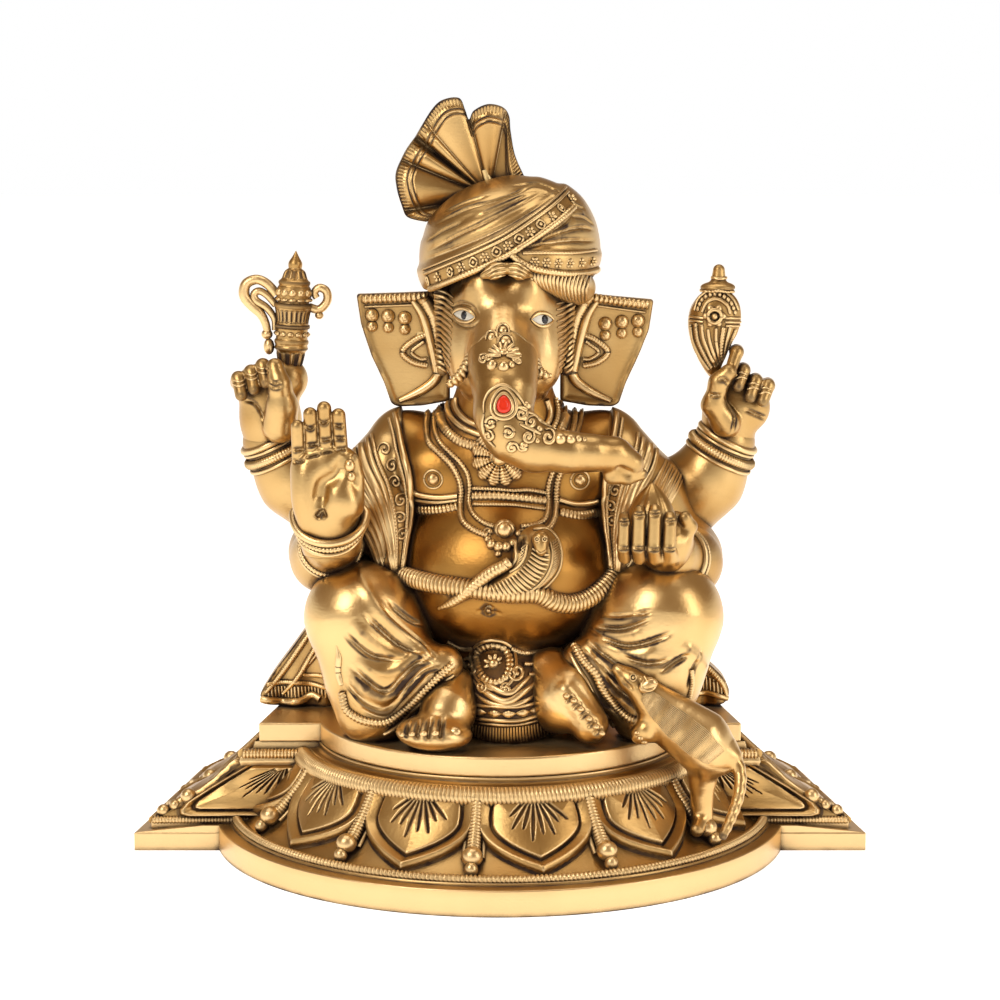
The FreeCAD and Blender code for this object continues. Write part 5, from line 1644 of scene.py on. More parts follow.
def raised_palm_field(p):
    """Open palm with its ball and heel, four straight fingers and a thumb beside them."""
    d = ball(p, (-72, -51.5, 162.5), (14.6, 8.0, 18.8))
    d = join(d, ball(p, (-72.4, -52, 172), (14.4, 6.8, 9.5)), 5)
    d = join(d, ball(p, (-80.5, -55.5, 161), (6.0, 6.0, 15.0)), 4)
    d = join(d, ball(p, (-66.2, -56, 158.0), (8.4, 6.8, 9.5), -25), 4)
    for (x1, z1), (x2, z2), size in PALM_FINGERS:
        d = join(d, bar(p, (x1, -53.5, z1), (x2, -55.5, z2 - size), size, size, 0.95), 0.5)
    d = join(d, bar(p, (-59.9, -54, 155), (-59.2, -54.5, 168), 3.0, 2.8), 2.0)
    d = join(d, bar(p, (-59.4, -54.5, 168), (-60.4, -55.5, 175.5), 2.5, 2.1), 0.8)
    return join(d, limb(p, [(-72, -46, 149, 13.4), (-71, -43, 139, 13)]), 4)


def raised_palm_hand():
    """Open hand with the line of its palm, the creases of its joints and three bangles."""
    shell = Shell()
    field = raised_palm_field
    sculpt(shell, field, (-90, -66, 134), (-54, -36, 202), 0.42)
    lines = [[(-65.6, 177.5), (-66.4, 172.4), (-68.2, 169.4), (-72.7, 166.3), (-73.8, 162.8), (-74.1, 159.2),
              (-73.9, 155.1)],
             [(-76.4, 151.6), (-75.0, 153.0), (-74.1, 154.9)],
             [(-72.1, 151.6), (-73.2, 153.2), (-74.0, 155.5)]]
    grooves(shell, field, lines[:1], 3.0, 2.4, 0.35)
    grooves(shell, field, lines, 1.0, 1.8)
    joints = [[(-85.9, 179.2), (-83.6, 179.6), (-81.3, 179.7)],
              [(-80.3, 181.3), (-77.6, 181.6), (-75.0, 181.9)],
              [(-74.6, 183.4), (-72.2, 183.7), (-69.7, 184.0)],
              [(-68.6, 184.3), (-66.3, 184.4), (-64.0, 184.2)],
              [(-86.0, 174.4), (-83.6, 174.9), (-81.0, 175.2)],
              [(-80.3, 176.6), (-77.4, 177.3), (-74.4, 178.0)],
              [(-74.0, 178.5), (-71.6, 178.9), (-69.0, 179.4)],
              [(-68.4, 179.7), (-65.7, 179.8), (-62.8, 180.0)],
              [(-80.8, 189.4), (-78.4, 188.4), (-76.2, 189.8)],
              [(-75.2, 191.8), (-72.8, 190.6), (-70.4, 192.0)],
              [(-68.8, 190.0), (-66.4, 189.4), (-64.6, 189.8)]]
    grooves(shell, field, joints, 0.6, 1.5)
    for x, z, size in ((-62.3, 173.0, 2.3), (-61.6, 168.4, 2.0)):
        pebble(shell, spot(field, x, z, -0.6), (size, size * 1.2, 2.0), FRONT)
    for slip, thick, pitch in ((0.0, 1.8, 0.0), (2.7, 1.4, 1.5), (4.9, 1.0, 0.0)):
        angle = np.linspace(0, TAU, 60, endpoint=False)
        reach = np.where(np.sin(angle) > 0, 1.0, 0.45) * np.sin(angle)
        loop = np.stack([-71.4 + (15.4 - 0.3 * slip) * np.cos(angle), -47.0 - 11.5 * reach,
                         151.0 - slip - 10.6 * reach], -1)
        rope(shell, smooth_line(loop, 0.4, closed=True), thick, pitch, 0.3, 0.0, closed=True)
    return piece("raised_palm_hand_visual", shell, FIGURE_BRASS, "figure_brass", "raised_palm_hand")


GIVING_FINGERS = ((51.7, 153.6, 2.5), (57.9, 156.4, 2.8), (64.4, 157.0, 2.85), (70.8, 153.8, 2.65))


def giving_hand_field(p):
    """Palm held up, with four fingers bent up in front of the sweet and a thumb beside it."""
    d = ball(p, (64.5, -47, 139.4), (15.6, 9.8, 7.4))
    d = join(d, ball(p, (62, -46, 144), (12, 8.0, 9)), 3)
    d = join(d, ball(p, (74, -44, 142), (7.0, 7, 10)), 4)
    for x, top, size in GIVING_FINGERS:
        d = join(d, bar(p, (x + 0.4, -53.6, 133.8), (x - 0.4, -57.4, 138.4), size * 1.1, size * 1.08), 0.6)
        d = join(d, bar(p, (x - 0.4, -57.4, 138.4), (x, -56.6, top - 4.5), size * 1.06, size, 0.95), 0.5)
        d = join(d, bar(p, (x, -56.6, top - 4.5), (x, -55.0, top - size), size, size * 0.92, 0.95), 0.5)
    d = join(d, bar(p, (75, -50, 137), (79.5, -48, 146), 3.4, 3.2), 1.5)
    d = join(d, bar(p, (79.5, -48, 146), (77.4, -50, 150.0), 3.1, 2.8), 1.0)
    return join(d, limb(p, [(72, -38, 134, 11), (70, -44, 135, 10)]), 4)


def giving_hand():
    """Hand that holds the sweet, with creases at each joint."""
    shell = Shell()
    field = giving_hand_field
    sculpt(shell, field, (46, -64, 122), (86, -28, 162), 0.42)
    lines = []
    for x, top, size in GIVING_FINGERS:
        for shift in (-3.4, -4.6):
            lines.append([(x - size * 0.8, top + shift + 0.4), (x, top + shift),
                          (x + size * 0.8, top + shift + 0.4)])
        low = 139.0 if x < 60 else 138.4
        lines.append([(x - size, low), (x, low - 0.3), (x + size, low)])
    grooves(shell, field, lines, 0.42, 0.9)
    return piece("giving_hand_visual", shell, FIGURE_BRASS, "figure_brass", "giving_hand")


def modak():
    """Pointed dumpling with pleats that run up to its tip."""
    shell = Shell()
    low, high = corners("modak")
    cx, cy = (low[0] + high[0]) / 2 - 2.4, (low[1] + high[1]) / 2
    half, height = (high[0] - low[0]) / 2 + 0.8, (high[2] - low[2]) * 0.82
    t = np.linspace(0, 1, 40)[:, None]
    a = (np.arange(96) * TAU / 96)[None, :]
    reach = half * np.sqrt(np.clip(1 - (2.2 * t - 0.75) ** 2 / 1.6, 0, 1)) * (t < 0.36) \
        + half * (1 - np.clip((t - 0.36) / 0.64, 0, 1) ** 1.5) ** 0.8 * (t >= 0.36)
    reach = reach * (1 - 0.06 * (0.5 + 0.5 * np.cos(6 * a)) ** 6 * np.clip((t - 0.15) * 3, 0, 1))
    rows = np.stack([cx + reach * np.cos(a), cy + reach * np.sin(a), low[2] + height * t + 0 * a], -1)
    shell.grid(rows, wrap_v=True, flip=True)
    return piece("modak_visual", shell, FIGURE_BRASS, "figure_brass", "modak")


RIGHT_FIST = ((-113.4, 206.6), (-107.9, 209.4), (-102.8, 212.2))    # x and height of each curled finger
LEFT_KNUCKLES = ((104.2, 203.6), (109.6, 199.0), (115.0, 197.0))


def upper_right_hand_field(p):
    """Fist with three curled fingers and a thumb, which holds the goad."""
    d = limb(p, [(-99.5, 12, 174, 12.0), (-100.5, 11, 184, 12.4), (-101.5, 10, 194, 12.6)], 5)
    d = join(d, limb(p, [(-107, 9, 200, 8.0), (-93.5, 9, 202, 9.6)], 4), 4)
    d = join(d, limb(p, [(-95.5, -2, 183, 7.8), (-94, -6, 192, 6.6), (-94.8, -8, 201, 4.8),
                         (-97.0, -6, 209.0, 3.8)], 2), 2.0)
    for x, top in RIGHT_FIST:
        d = join(d, bar(p, (x - 1, 10, top - 6), (x, 1, top - 3.4), 3.6, 3.3), 1.2)
        d = join(d, bar(p, (x, 1, top - 3.4), (x + 1.6, -4, top - 10), 3.1, 2.8), 0.6)
    return d


def upper_left_hand_field(p):
    """Hand with a pointing finger under the conch and three curled ones."""
    d = limb(p, [(100, 12, 178, 12.0), (101, 11, 188, 11.0), (103, 10, 196, 9.0)], 5)
    d = join(d, limb(p, [(98, 0, 184, 6.5), (92.5, -2, 192, 5.0), (94.5, -4, 202, 4.0),
                         (98.6, -5, 206.5, 3.6)], 2.5), 2)
    for x, z in ((101.2, 211.6), *LEFT_KNUCKLES):
        d = join(d, bar(p, (x + 2, 10, z + 2.5), (x + 1.4, 1, z + 3.0), 3.3, 3.0), 1.0)
        d = join(d, bar(p, (x + 1.4, 1, z + 3.0), (x - 1.2, -3.5, z - 3.2), 2.9, 2.6), 0.6)
    return join(d, ball(p, (108, 8, 190), (10, 8, 11)), 3)


def upper_hands():
    """Two raised hands with creases in their palms and rings on their fingers."""
    shell = Shell()
    field = upper_right_hand_field
    sculpt(shell, field, (-122, -14, 162), (-80, 26, 220), 0.5)
    grooves(shell, field, [[(-99.2, 203.6), (-97, 202.4), (-94.0, 203.2)],
                           [(-99.4, 201.6), (-97, 200.6), (-93.8, 201.2)],
                           [(-112, 193.5), (-107, 193.0), (-103.4, 188.4), (-102.6, 182.6)]], 0.6, 1.1)
    for x, top in RIGHT_FIST:
        for drop in (4.4, 6.2):
            bend = [(x - 2.0, top - drop + 0.8), (x + 0.8, top - drop), (x + 3.2, top - drop + 0.8)]
            rope(shell, front_line(field, bend, 0.5, 0.0), 0.5)
    piece("upper_right_hand_visual", shell, FIGURE_BRASS, "figure_brass", "upper_right_hand")
    shell = Shell()
    field = upper_left_hand_field
    sculpt(shell, field, (84, -14, 166), (124, 26, 222), 0.5)
    grooves(shell, field, [[(97.1, 196.1), (99.6, 191.0), (101.6, 186.5), (100.6, 180.3)],
                           [(90, 197.2), (92.5, 196.6), (95.5, 197.0)],
                           [(93.8, 203.6), (96.6, 203.8), (98.6, 201.6)],
                           [(106, 190), (111.5, 187.4), (116, 185.2)]], 0.6, 1.2)
    for x, z in LEFT_KNUCKLES:
        for shift in (0.0, 1.8):
            bend = [(x - 2.4, z + shift), (x, z + 0.8 + shift), (x + 2.2, z + shift)]
            rope(shell, front_line(field, bend, 0.5, 0.0), 0.5)
    return piece("upper_left_hand_visual", shell, FIGURE_BRASS, "figure_brass", "upper_left_hand")


def lathe(shell, place, axis, stations, flutes=None):
    """Turned shape along an axis from (along, radius) pairs. Flutes are (from, to, count, depth)."""
    across = basis(axis)
    t = smooth_line([(a, r, 0) for a, r in stations], 0.35)
    angle = np.arange(72) * TAU / 72
    reach = np.repeat(t[:, 1:2], 72, 1)
    for start, stop, count, depth in flutes or ():
        inside = ((t[:, 0] >= start) & (t[:, 0] <= stop))[:, None]
        reach = reach - depth * inside * (0.5 + 0.5 * np.cos(count * angle))[None, :] ** 2
    rows = np.asarray(place) + t[:, :1, None] * across[2] + reach[..., None] * (
        np.cos(angle)[:, None] * across[0] + np.sin(angle)[:, None] * across[1])
    shell.grid(rows, wrap_v=True)


def goad():
    """Fluted head of the goad with a crown, a pointed finial, a long scroll and a short one."""
    shell = Shell()
    foot, tip = np.array((-91.6, 8.0, 205.5)), np.array((-88.4, 8.0, 258.0))
    axis = tip - foot
    scale = np.linalg.norm(axis)
    stations = [(0, 3.2), (2, 5.0), (7, 6.2), (9, 6.4), (10.2, 7.3), (11.6, 7.0), (12.6, 7.4), (13.8, 7.4),
                (14.6, 6.9), (18.6, 6.9), (19.2, 7.6), (20.6, 7.6), (21.2, 7.0), (27.2, 7.9), (28.0, 8.3),
                (29.6, 8.3), (30.2, 6.9), (33.0, 7.6), (36.5, 7.2), (37.6, 6.6), (38.4, 6.9), (39.4, 6.8),
                (40.4, 5.8), (43.6, 4.6), (45.0, 2.9), (45.8, 3.0), (47.6, 2.9), (50.2, 1.4), (scale, 0.15)]
    lathe(shell, foot, axis, stations, ((21.6, 27.0, 22, 1.0), (2.0, 8.6, 9, 1.2), (40.6, 44.2, 10, 0.8)))
    across = basis(axis)
    up = across[2]

    def ring(height, radius):
        return [foot + up * height + radius * (math.cos(a) * across[0] + math.sin(a) * across[1])
                for a in np.arange(12) * TAU / 12]

    for spot_on in ring(16.6, 6.9):
        outward = spot_on - foot - up * 16.6
        pebble(shell, spot_on, (1.6, 1.2, 0.8), outward, cols=10, rows=6)
        pebble(shell, spot_on + outward * 0.08, 0.6, cols=8, rows=6)
    for spot_on in ring(34.6, 7.0):
        outward = spot_on - foot - up * 34.6
        pebble(shell, spot_on, (1.9, 1.7, 1.5), outward)
        pebble(shell, spot_on - up * 3.0 + outward * 0.02, (1.9, 0.9, 1.2), outward, cols=10, rows=6)
    base = np.array((0, 8.0, 0))
    long_outer = [(-97.0, 239), (-101.0, 243.6), (-105.6, 245.6), (-110.2, 243.6), (-111.0, 238.6),
                  (-108.0, 234.4), (-104.0, 230.6), (-102.0, 226.6), (-101.2, 223)]
    long_inner = [(-97.4, 234.5), (-101.0, 238.6), (-104.4, 240.6), (-106.8, 239.2), (-106.0, 236.4),
                  (-101.5, 233.4), (-98.2, 228.8), (-98.0, 223.6)]
    for line, size in ((long_outer, 2.1), (long_inner, 1.6)):
        rope(shell, smooth_line([base + (x, 0, z) for x, z in line], 0.6), size, hint=FRONT, flat=1.1,
             taper=(1, 1, 1.15, 1, 0.8), sides=12)
    pebble(shell, base + (-101.4, 0, 221.8), (2.5, 2.5, 2.3))
    pebble(shell, base + (-100.6, 0, 216.5), (2.4, 2.4, 3.6))
    short = [(-83.0, 233.6), (-78.6, 232.6), (-75.2, 236.2), (-75.4, 240.4), (-78.4, 242.0), (-80.6, 240.0),
             (-79.6, 237.6)]
    rope(shell, smooth_line([base + (x, 0, z) for x, z in short], 0.6), 1.9, hint=FRONT, flat=1.1,
         taper=(1, 1, 1, 0.8), sides=12)
    pebble(shell, base + (-78.6, 0, 230.0), (1.9, 1.9, 1.7))
    return piece("goad_visual", shell, ORNAMENT_BRASS, "ornament_brass", "goad")


CONCH_EDGE = [(94.2, 241.5), (87.9, 239.6), (83.4, 234.0), (82.0, 228.0), (82.3, 222.6), (84.0, 216.0),
              (87.2, 210.0), (91.0, 205.0), (95.0, 206.4), (97.6, 210.6), (100.2, 217.0), (103.2, 222.6),
              (104.6, 229.0), (103.8, 235.2), (100.4, 239.8)]


def conch_field(p):
    """Swollen plate of the conch with its tail and its cap."""
    e = outline_distance(p[0], p[2], smooth_line([(x, z, 0) for x, z in CONCH_EDGE], 1.2, closed=True)[:, :2])
    bulge = 8.2 - 5.2 * np.clip(1 - np.maximum(e, 0) / 7.0, 0, 1) ** 2
    body = np.maximum(-e, np.abs(p[1] - 8.5) - bulge)
    body = join(body, bar(p, (91.5, 8.5, 212), (93.5, 8.5, 205.5), 4.5, 3.0), 2)
    cap = join(ball(p, (94.6, 8.5, 242.2), (7.6, 6.5, 2.6)),
               bar(p, (94.8, 8.5, 243), (95.0, 8.5, 249.6), 3.6, 2.6), 1.5)
    return join(body, cap, 1.0)


def conch():
    """Flat conch with a flower boss, an arched band of leaves and ribbed bands that run down to its tail."""
    shell = Shell()
    field = conch_field
    sculpt(shell, field, (79, -2, 200), (108, 19, 254), 0.4)
    boss = (92.6, 230.3)
    seat = spot(field, *boss)
    rosette(shell, seat, FRONT, 5.2, 6, 0.55)
    eyed_loop(shell, field, boss, 2.9, 0.85, 1.3)
    pebble(shell, seat + (0, -1.5, 0), (1.4, 1.4, 1.5), FRONT)
    for arc in ([(84.4, 232.5), (86.2, 237.4), (90.4, 240.4), (95.7, 240.6), (100.2, 237.9), (102.9, 232.8)],
                [(87.4, 232.0), (89.6, 236.1), (93.7, 237.5), (97.8, 235.2), (99.3, 231.4)]):
        rope(shell, front_line(field, arc, 0.4, 0.3), 0.7)
    arch = smooth_line([(x, 0, z) for x, z in ((85.8, 233.2), (88.2, 237.6), (93.7, 239.4), (99.0, 236.6),
                                               (101.4, 231.8))], 2.1)
    for at in lay(field, seen_from(field, arch), 0.3):
        pebble(shell, at, (0.95, 1.25, 0.9), FRONT, cols=8, rows=6)
    bands = (([(82.8, 226.3), (83.8, 219.6), (87.0, 212.5), (91.0, 207.0)], 0.8, 0.0),
             ([(84.9, 227.0), (85.9, 220.0), (88.8, 213.5), (92.0, 208.0)], 1.0, 1.2),
             ([(87.2, 226.6), (88.0, 220.6), (90.6, 214.2), (93.4, 208.6)], 0.8, 0.0),
             ([(89.8, 224.6), (90.6, 219.6), (92.4, 214.0), (94.2, 209.4)], 0.8, 0.0),
             ([(93.4, 225.0), (93.4, 219.6), (94.2, 214.7), (95.0, 210.4)], 0.8, 0.0),
             ([(96.6, 225.4), (95.8, 220.0), (95.6, 215.0), (96.0, 211.0)], 1.15, 1.4),
             ([(99.4, 225.6), (98.2, 220.6), (97.4, 215.4), (97.0, 212.0)], 0.8, 0.0),
             ([(102.0, 224.4), (100.2, 219.6), (98.8, 215.4)], 0.9, 1.2))
    for line, size, pitch in bands:
        rope(shell, front_line(field, line, 0.33, 0.3), size, pitch, 0.28)
    for x1, x2, z in ((82.4, 88.0, 229.8), (82.3, 87.8, 228.2), (97.4, 104.0, 229.6), (97.4, 104.2, 227.8),
                      (97.6, 103.8, 226.2)):
        rope(shell, front_line(field, [(x1, z), ((x1 + x2) / 2, z - 0.2), (x2, z - 0.4)], 0.4, 0.2), 0.6)
    hem = [(87.6, 241.2), (91.0, 240.9), (94.6, 241.4), (98.2, 240.8), (101.4, 240.9)]
    rope(shell, front_line(field, hem, 0.33, 0.4), 0.8, 1.5, 0.3)
    rope(shell, front_line(field, [(91.8, 246.6), (94.9, 246.0), (98.2, 246.4)], 0.4, 0.2), 0.7)
    return piece("conch_visual", shell, ORNAMENT_BRASS, "ornament_brass", "conch")


# ---- the snake round the belly -----------------------------------------------------------------------
HOOD_EDGE = [(8.3, 143.3), (12.4, 146.0), (17.6, 146.6), (22.8, 143.6), (25.8, 137.8), (26.2, 132.8),
             (24.6, 127.3), (20.3, 122.6), (14.5, 118.4), (5.1, 115.6), (-4, 115.4), (-9.3, 117.0),
             (-8.0, 121.6), (-3.0, 124.6), (1.8, 127.6), (4.8, 131.4), (5.4, 136.7)]
HOOD = smooth_line([(x, z, 0) for x, z in HOOD_EDGE], 1.0, closed=True)[:, :2]


def hood_field(p):
    """Flared neck of the cobra, a swollen plate on the front of the belly."""
    e = outline_distance(p[0], p[2], HOOD)
    swell = 1.4 + 3.4 * (1 - np.exp(-np.maximum(e, 0) / 2.2))
    return np.maximum(torso_field(p) - swell, -e)


def snake_body(shell):
    """Ribbed ring of the snake, which lies in the fold round the belly."""
    ring = [(50, 4, 128), (40, 34, 129), (3, 46, 131), (-36, 34, 129), (-49, -6, 124), (-42.2, -29.1, 122.8),
            (-35.4, -38.9, 122.3), (-27.1, -46.4, 121.6), (-19.0, -51.1, 121.2), (-10.9, -54.1, 120.6),
            (4, -56, 119), (15.5, -54.3, 118.6), (21.2, -52.0, 115.5), (27.7, -48.5, 113.6),
            (34.2, -44.3, 114.0), (40.9, -39.0, 117.1), (45.9, -32.9, 121.0), (49.6, -20.7, 126.7)]
    line = smooth_line(ring, 4.0, closed=True)
    line = smooth_line(lay(torso_field, line, 1.2), 0.4, closed=True)
    rope(shell, line, 4.2, 1.9, 0.20, 0.0, closed=True, sides=20)


def snake_belt():
    """Snake knotted round the belly as a belt, with its hood up and its tail across it."""
    shell = Shell()
    snake_body(shell)
    sculpt(shell, hood_field, (-12, -68, 112), (30, -40, 150), 0.45)
    pocket = [(9.0, 143.0), (8.2, 140.0), (9.4, 137.2)]
    grooves(shell, hood_field, [pocket], 1.5, 2.6)
    left = [(13.6, 138.6), (12.4, 134.6), (9.9, 130.9), (5.1, 127.0), (-2.9, 123.0), (-8.1, 119.6)]
    right = [(20.2, 136.0), (20.0, 131.7), (17.9, 127.2), (12.3, 121.4), (3.5, 117.4), (-6.7, 116.6)]
    a, b = (smooth_line([(x, 0, z) for x, z in line], 0.2) for line in (left, right))
    ribs = 19
    for k in range(ribs):
        f = (k + 0.5) / ribs
        start, stop = a[int(f * (len(a) - 1))], b[int(f * (len(b) - 1))]
        centre = (start + stop) / 2 + (0.5, 0, -0.9)
        line = [(start[0], start[2]), (centre[0], centre[2]), (stop[0], stop[2])]
        rope(shell, front_line(hood_field, line, 0.5, 0.3), 0.82, taper=(0.6, 1, 1, 0.6), sides=8)
    for line, size in (([(14.0, 145.0), (19.6, 145.2), (23.8, 141.4), (25.6, 136.0), (25.0, 129.6),
                         (21.4, 124.0), (15.0, 119.2), (6.0, 116.2)], 0.7),
                       ([(20.8, 140.0), (21.8, 135.0), (20.8, 129.6), (17.4, 124.4), (11.6, 119.8)], 0.6),
                       ([(11.4, 139.4), (10.2, 134.6), (7.6, 130.8), (4.2, 128.4)], 0.6),
                       ([(7.0, 143.6), (6.6, 138.8), (6.8, 134.2), (5.2, 131.0)], 0.8)):
        rope(shell, front_line(hood_field, line, 0.35, 0.2), size)
    outer = smooth_line([(25.0, 0, 140.6), (25.4, 0, 133.0), (22.4, 0, 126.0), (15.6, 0, 120.0)], 0.2)
    for k in range(26):
        at = outer[int(k / 25 * (len(outer) - 1))]
        line = [(at[0] - 3.2, at[2] - 0.6), (at[0] - 0.3, at[2] + 0.8)]
        rope(shell, front_line(hood_field, line, 0.6, 0.0), 0.32, sides=6)
    for k in range(6):
        for lean in (-1, 1):
            line = [(7.4 + 0.3 * k, 131.5 + 1.3 * k), (9.4 + 0.3 * k, 131.5 + 1.3 * k + 1.6 * lean)]
            rope(shell, front_line(hood_field, line, 0.5, 0.0), 0.3, sides=6)
    snake_head(shell)
    tail = [(4.0, 132.0), (1.9, 130.6), (-2.9, 128.2), (-8.5, 124.1), (-14.1, 118.9), (-19.0, 115.1),
            (-24.7, 111.9)]
    line = front_line(lambda p: np.minimum(torso_field(p) - 1.0, hood_field(p)), tail, 0.4, 2.2)
    for twist in (1.0, -1.0):
        rope(shell, line, 2.7, 1.7, 0.18, twist, sides=16, taper=(0.9, 1, 1, 0.95, 0.85, 0.7, 0.3))
    return piece("snake_belt_visual", shell, ORNAMENT_BRASS, "ornament_brass", "snake_belt")


def snake_head(shell):
    """Small head on the hood, with two ringed eyes and a mouth."""
    face = spot(hood_field, 17.0, 140.9)
    skull = lambda p: join(ball(p, face + (0, -1.6, 0.8), (3.7, 3.6, 4.0)),
                           ball(p, face + (0.1, -3.4, -2.6), (2.5, 2.6, 3.4)), 2)
    sculpt(shell, skull, face + (-7, -9, -8), face + (7, 4, 7), 0.33)
    for side in (-1, 1):
        eye = (face[0] + side * 1.55, face[2] + 1.5)
        eyed_loop(shell, skull, eye, 0.95, 0.36, 0.1)
        pebble(shell, spot(skull, *eye), 0.5, cols=8, rows=6)
    mouth = [(face[0] - 1.8, face[2] - 3.2), (face[0], face[2] - 4.2), (face[0] + 1.9, face[2] - 3.2)]
    rope(shell, front_line(skull, mouth, 0.3, 0.1), 0.4)


# ---- shawl ends and mouse ----------------------------------------------------------------------------
def shawl_end(side):
    """Fringed corner of cloth that falls beside the leg onto the seat."""
    shell = Shell()
    if side < 0:
        outline = [(-70, 98), (-82, 96), (-92, 82), (-101, 70), (-108, 59), (-104, 55.5), (-88, 54.6),
                   (-66, 54.6), (-64, 80)]
        folds = [[(-80, 95), (-88, 83), (-97, 70), (-104.5, 61)],
                 [(-77, 90), (-84, 78), (-90, 68), (-97, 60)]]
        panel = [(-76, 88), (-82, 78), (-88, 69.5), (-80, 68.5), (-73, 66.5)]
    else:
        outline = [(66, 80), (84, 78), (93, 74), (100, 67.5), (103, 61), (101, 55.5), (90, 54.6), (66, 54.6)]
        folds = [[(84, 77), (92, 72.5), (98.6, 65.5), (101, 59)]]
        panel = []
    edge = smooth_corners(outline, 3.0)
    if side < 0:
        edge = edge[::-1]

    def field(p):
        e = outline_distance(p[0], p[2], edge)
        wave = 1.3 * np.sin(p[0] * 0.5) * np.clip((78 - p[2]) / 20, 0, 1)
        y = p[1] - 22 - wave
        return np.maximum(np.maximum(-e, np.abs(y) - 6.5), SEAT_LEVEL - p[2])

    sculpt(shell, field, (edge[:, 0].min() - 2, 10, 54), (edge[:, 0].max() + 2, 34, 99), 0.55)
    for line in folds:
        rope(shell, front_line(field, line, 0.35, 0.3), 1.5, 1.2, 0.2, taper=(0.5, 1, 1, 0.7))
    if panel:
        rope(shell, front_line(field, panel, 0.35, 0.3), 1.0, 1.0, 0.2)
        hem = [(-104, 64.5), (-95, 65.5), (-84, 64.6), (-74, 62)]
        rope(shell, front_line(field, hem, 0.35, 0.3), 1.2, 1.0, 0.2)
        for k in range(22):
            x = -103.5 + 1.5 * k
            strand = front_line(field, [(x, 63.6), (x + 0.3, 58.6)], 0.8, 0.1)
            rope(shell, strand, 0.65, taper=(1, 1, 0.6), sides=6)
        foot = [(-106, 58), (-98, 56.6), (-90, 57.0), (-84, 59.6), (-80, 58.0)]
        rope(shell, front_line(field, foot, 0.5, 0.6), 1.8)
    else:
        for k in range(11):
            x = 84 + 1.6 * k
            strand = front_line(field, [(x, 70.5 - 0.5 * k), (x + 0.5, 63.0 - 0.3 * k)], 0.8, 0.1)
            rope(shell, strand, 0.65, taper=(1, 1, 0.6), sides=6)
        rope(shell, front_line(field, [(86, 60), (94, 60.4), (101.4, 58)], 0.5, 0.3), 1.3)
    node = "right_shawl_end" if side < 0 else "left_shawl_end"
    return piece(node + "_visual", shell, ORNAMENT_BRASS, "ornament_brass", node)


MOUSE_TAIL = smooth_line([(94, -68, 55), (98.6, -71, 50), (100.0, -74, 44), (98.6, -79, 37), (95.0, -86, 30),
                          (91.4, -93, 25)], 5.0)


def mouse_field(p):
    """Mouse that stands on its hind legs, with its paws at the edge of the seat and its tail hanging free."""
    d = limb(p, [(49.4, -59, 87.2, 2.6), (54.5, -61, 83.2, 4.2), (60.5, -62, 78.2, 5.9),
                 (66, -63, 72.5, 7.4)], 4)
    d = join(d, limb(p, [(66, -63, 71.5, 8.2), (74, -64, 65, 10.4), (84, -66, 58.4, 11.6),
                         (91, -67, 52.5, 8.6)], 6), 5)
    d = join(d, limb(p, [(66, -64, 66, 6.5), (60.5, -66, 62.5, 4.6), (58.2, -66, 61.0, 3.8)], 3), 3)
    d = join(d, limb(p, [(64, -60, 68, 5), (60, -58, 67.5, 2.8)], 2), 1.5)
    x, y = middle("mouse_bolt")[:2]
    d = join(d, limb(p, [(85, -68, 53, 8.0), (x, y - 2, 42, 5.4), (x, y, 20, 4.4)], 4), 4)
    d = join(d, limb(p, [(x, y - 1, 24, 4.0), (x - 2.5, y - 8, 20.5, 3.0)], 2), 2)
    sizes = np.interp(np.arange(len(MOUSE_TAIL)), (0, 2, len(MOUSE_TAIL) - 1), (4.4, 2.6, 1.8))
    return join(d, limb(p, [(*at, size) for at, size in zip(MOUSE_TAIL, sizes)], 1.0), 3)


def mouse():
    """Mouse that climbs the seat, with chased fur, a round ear and a long tail that hangs past the rim."""
    shell = Shell()
    field = mouse_field
    sculpt(shell, field, (44, -98, 18), (106, -46, 94), 0.45)
    grooves(shell, field, [[(57.6, 86.0), (58.6, 82.0), (60.4, 78.0)],
                           [(60.0, 76.5), (62.4, 75.0), (64.6, 75.4)],
                           [(50.6, 84.6), (53.0, 82.2), (55.6, 80.6)]], 0.6, 0.9)
    ear = spot(field, 61.6, 82.0)
    pebble(shell, ear, (4.4, 3.0, 2.2), FRONT, 0.6, cols=20, rows=12)
    eyed_loop(shell, field, (61.6, 82.0), 2.7, 0.6, 1.2, 0.75)
    rope(shell, front_line(field, [(59.6, 84.4), (61.8, 82.2), (64.6, 81.6)], 0.5, 2.2), 0.45)
    eyed_loop(shell, field, (55.4, 85.2), 1.3, 0.4, 0.2)
    pebble(shell, spot(field, 55.4, 85.2), 0.8, cols=8, rows=6)
    back = [(60.6, 82.0), (67.0, 78.2), (76.0, 72.6), (86.0, 66.0), (93.0, 56.4)]
    belly = [(58.4, 76.4), (63.0, 69.0), (69.5, 62.0), (77.6, 55.2), (86.0, 51.0)]
    hatch = 40
    for k in range(1, hatch):
        line = between(back, belly, k / hatch)
        for first in (0, 3, 6, 9):
            start = line[first + (k % 2)]
            stop = line[min(first + 2 + (k % 2), 11)]
            rope(shell, front_line(field, [start, stop], 0.9, 0.0), 0.32, taper=(0.3, 1, 0.3), sides=5)
    for x, z in ((57.0, 62.6), (58.4, 60.4), (60.2, 58.6)):
        pebble(shell, spot(field, x, z, -0.4), (1.6, 1.2, 1.4), FRONT, cols=8, rows=6)
    return piece("mouse_visual", shell, PAINTED_LIGHT_BRASS, "ornament_brass", "mouse")


# ---- hidden dowels and bolts -------------------------------------------------------------------------
TURNED_ROD = ("limb_dowels", "hand_dowels", "small_dowels", "neck_spigot")
BOLTS = ("seat_screws", "figure_bolts", "mouse_bolt")


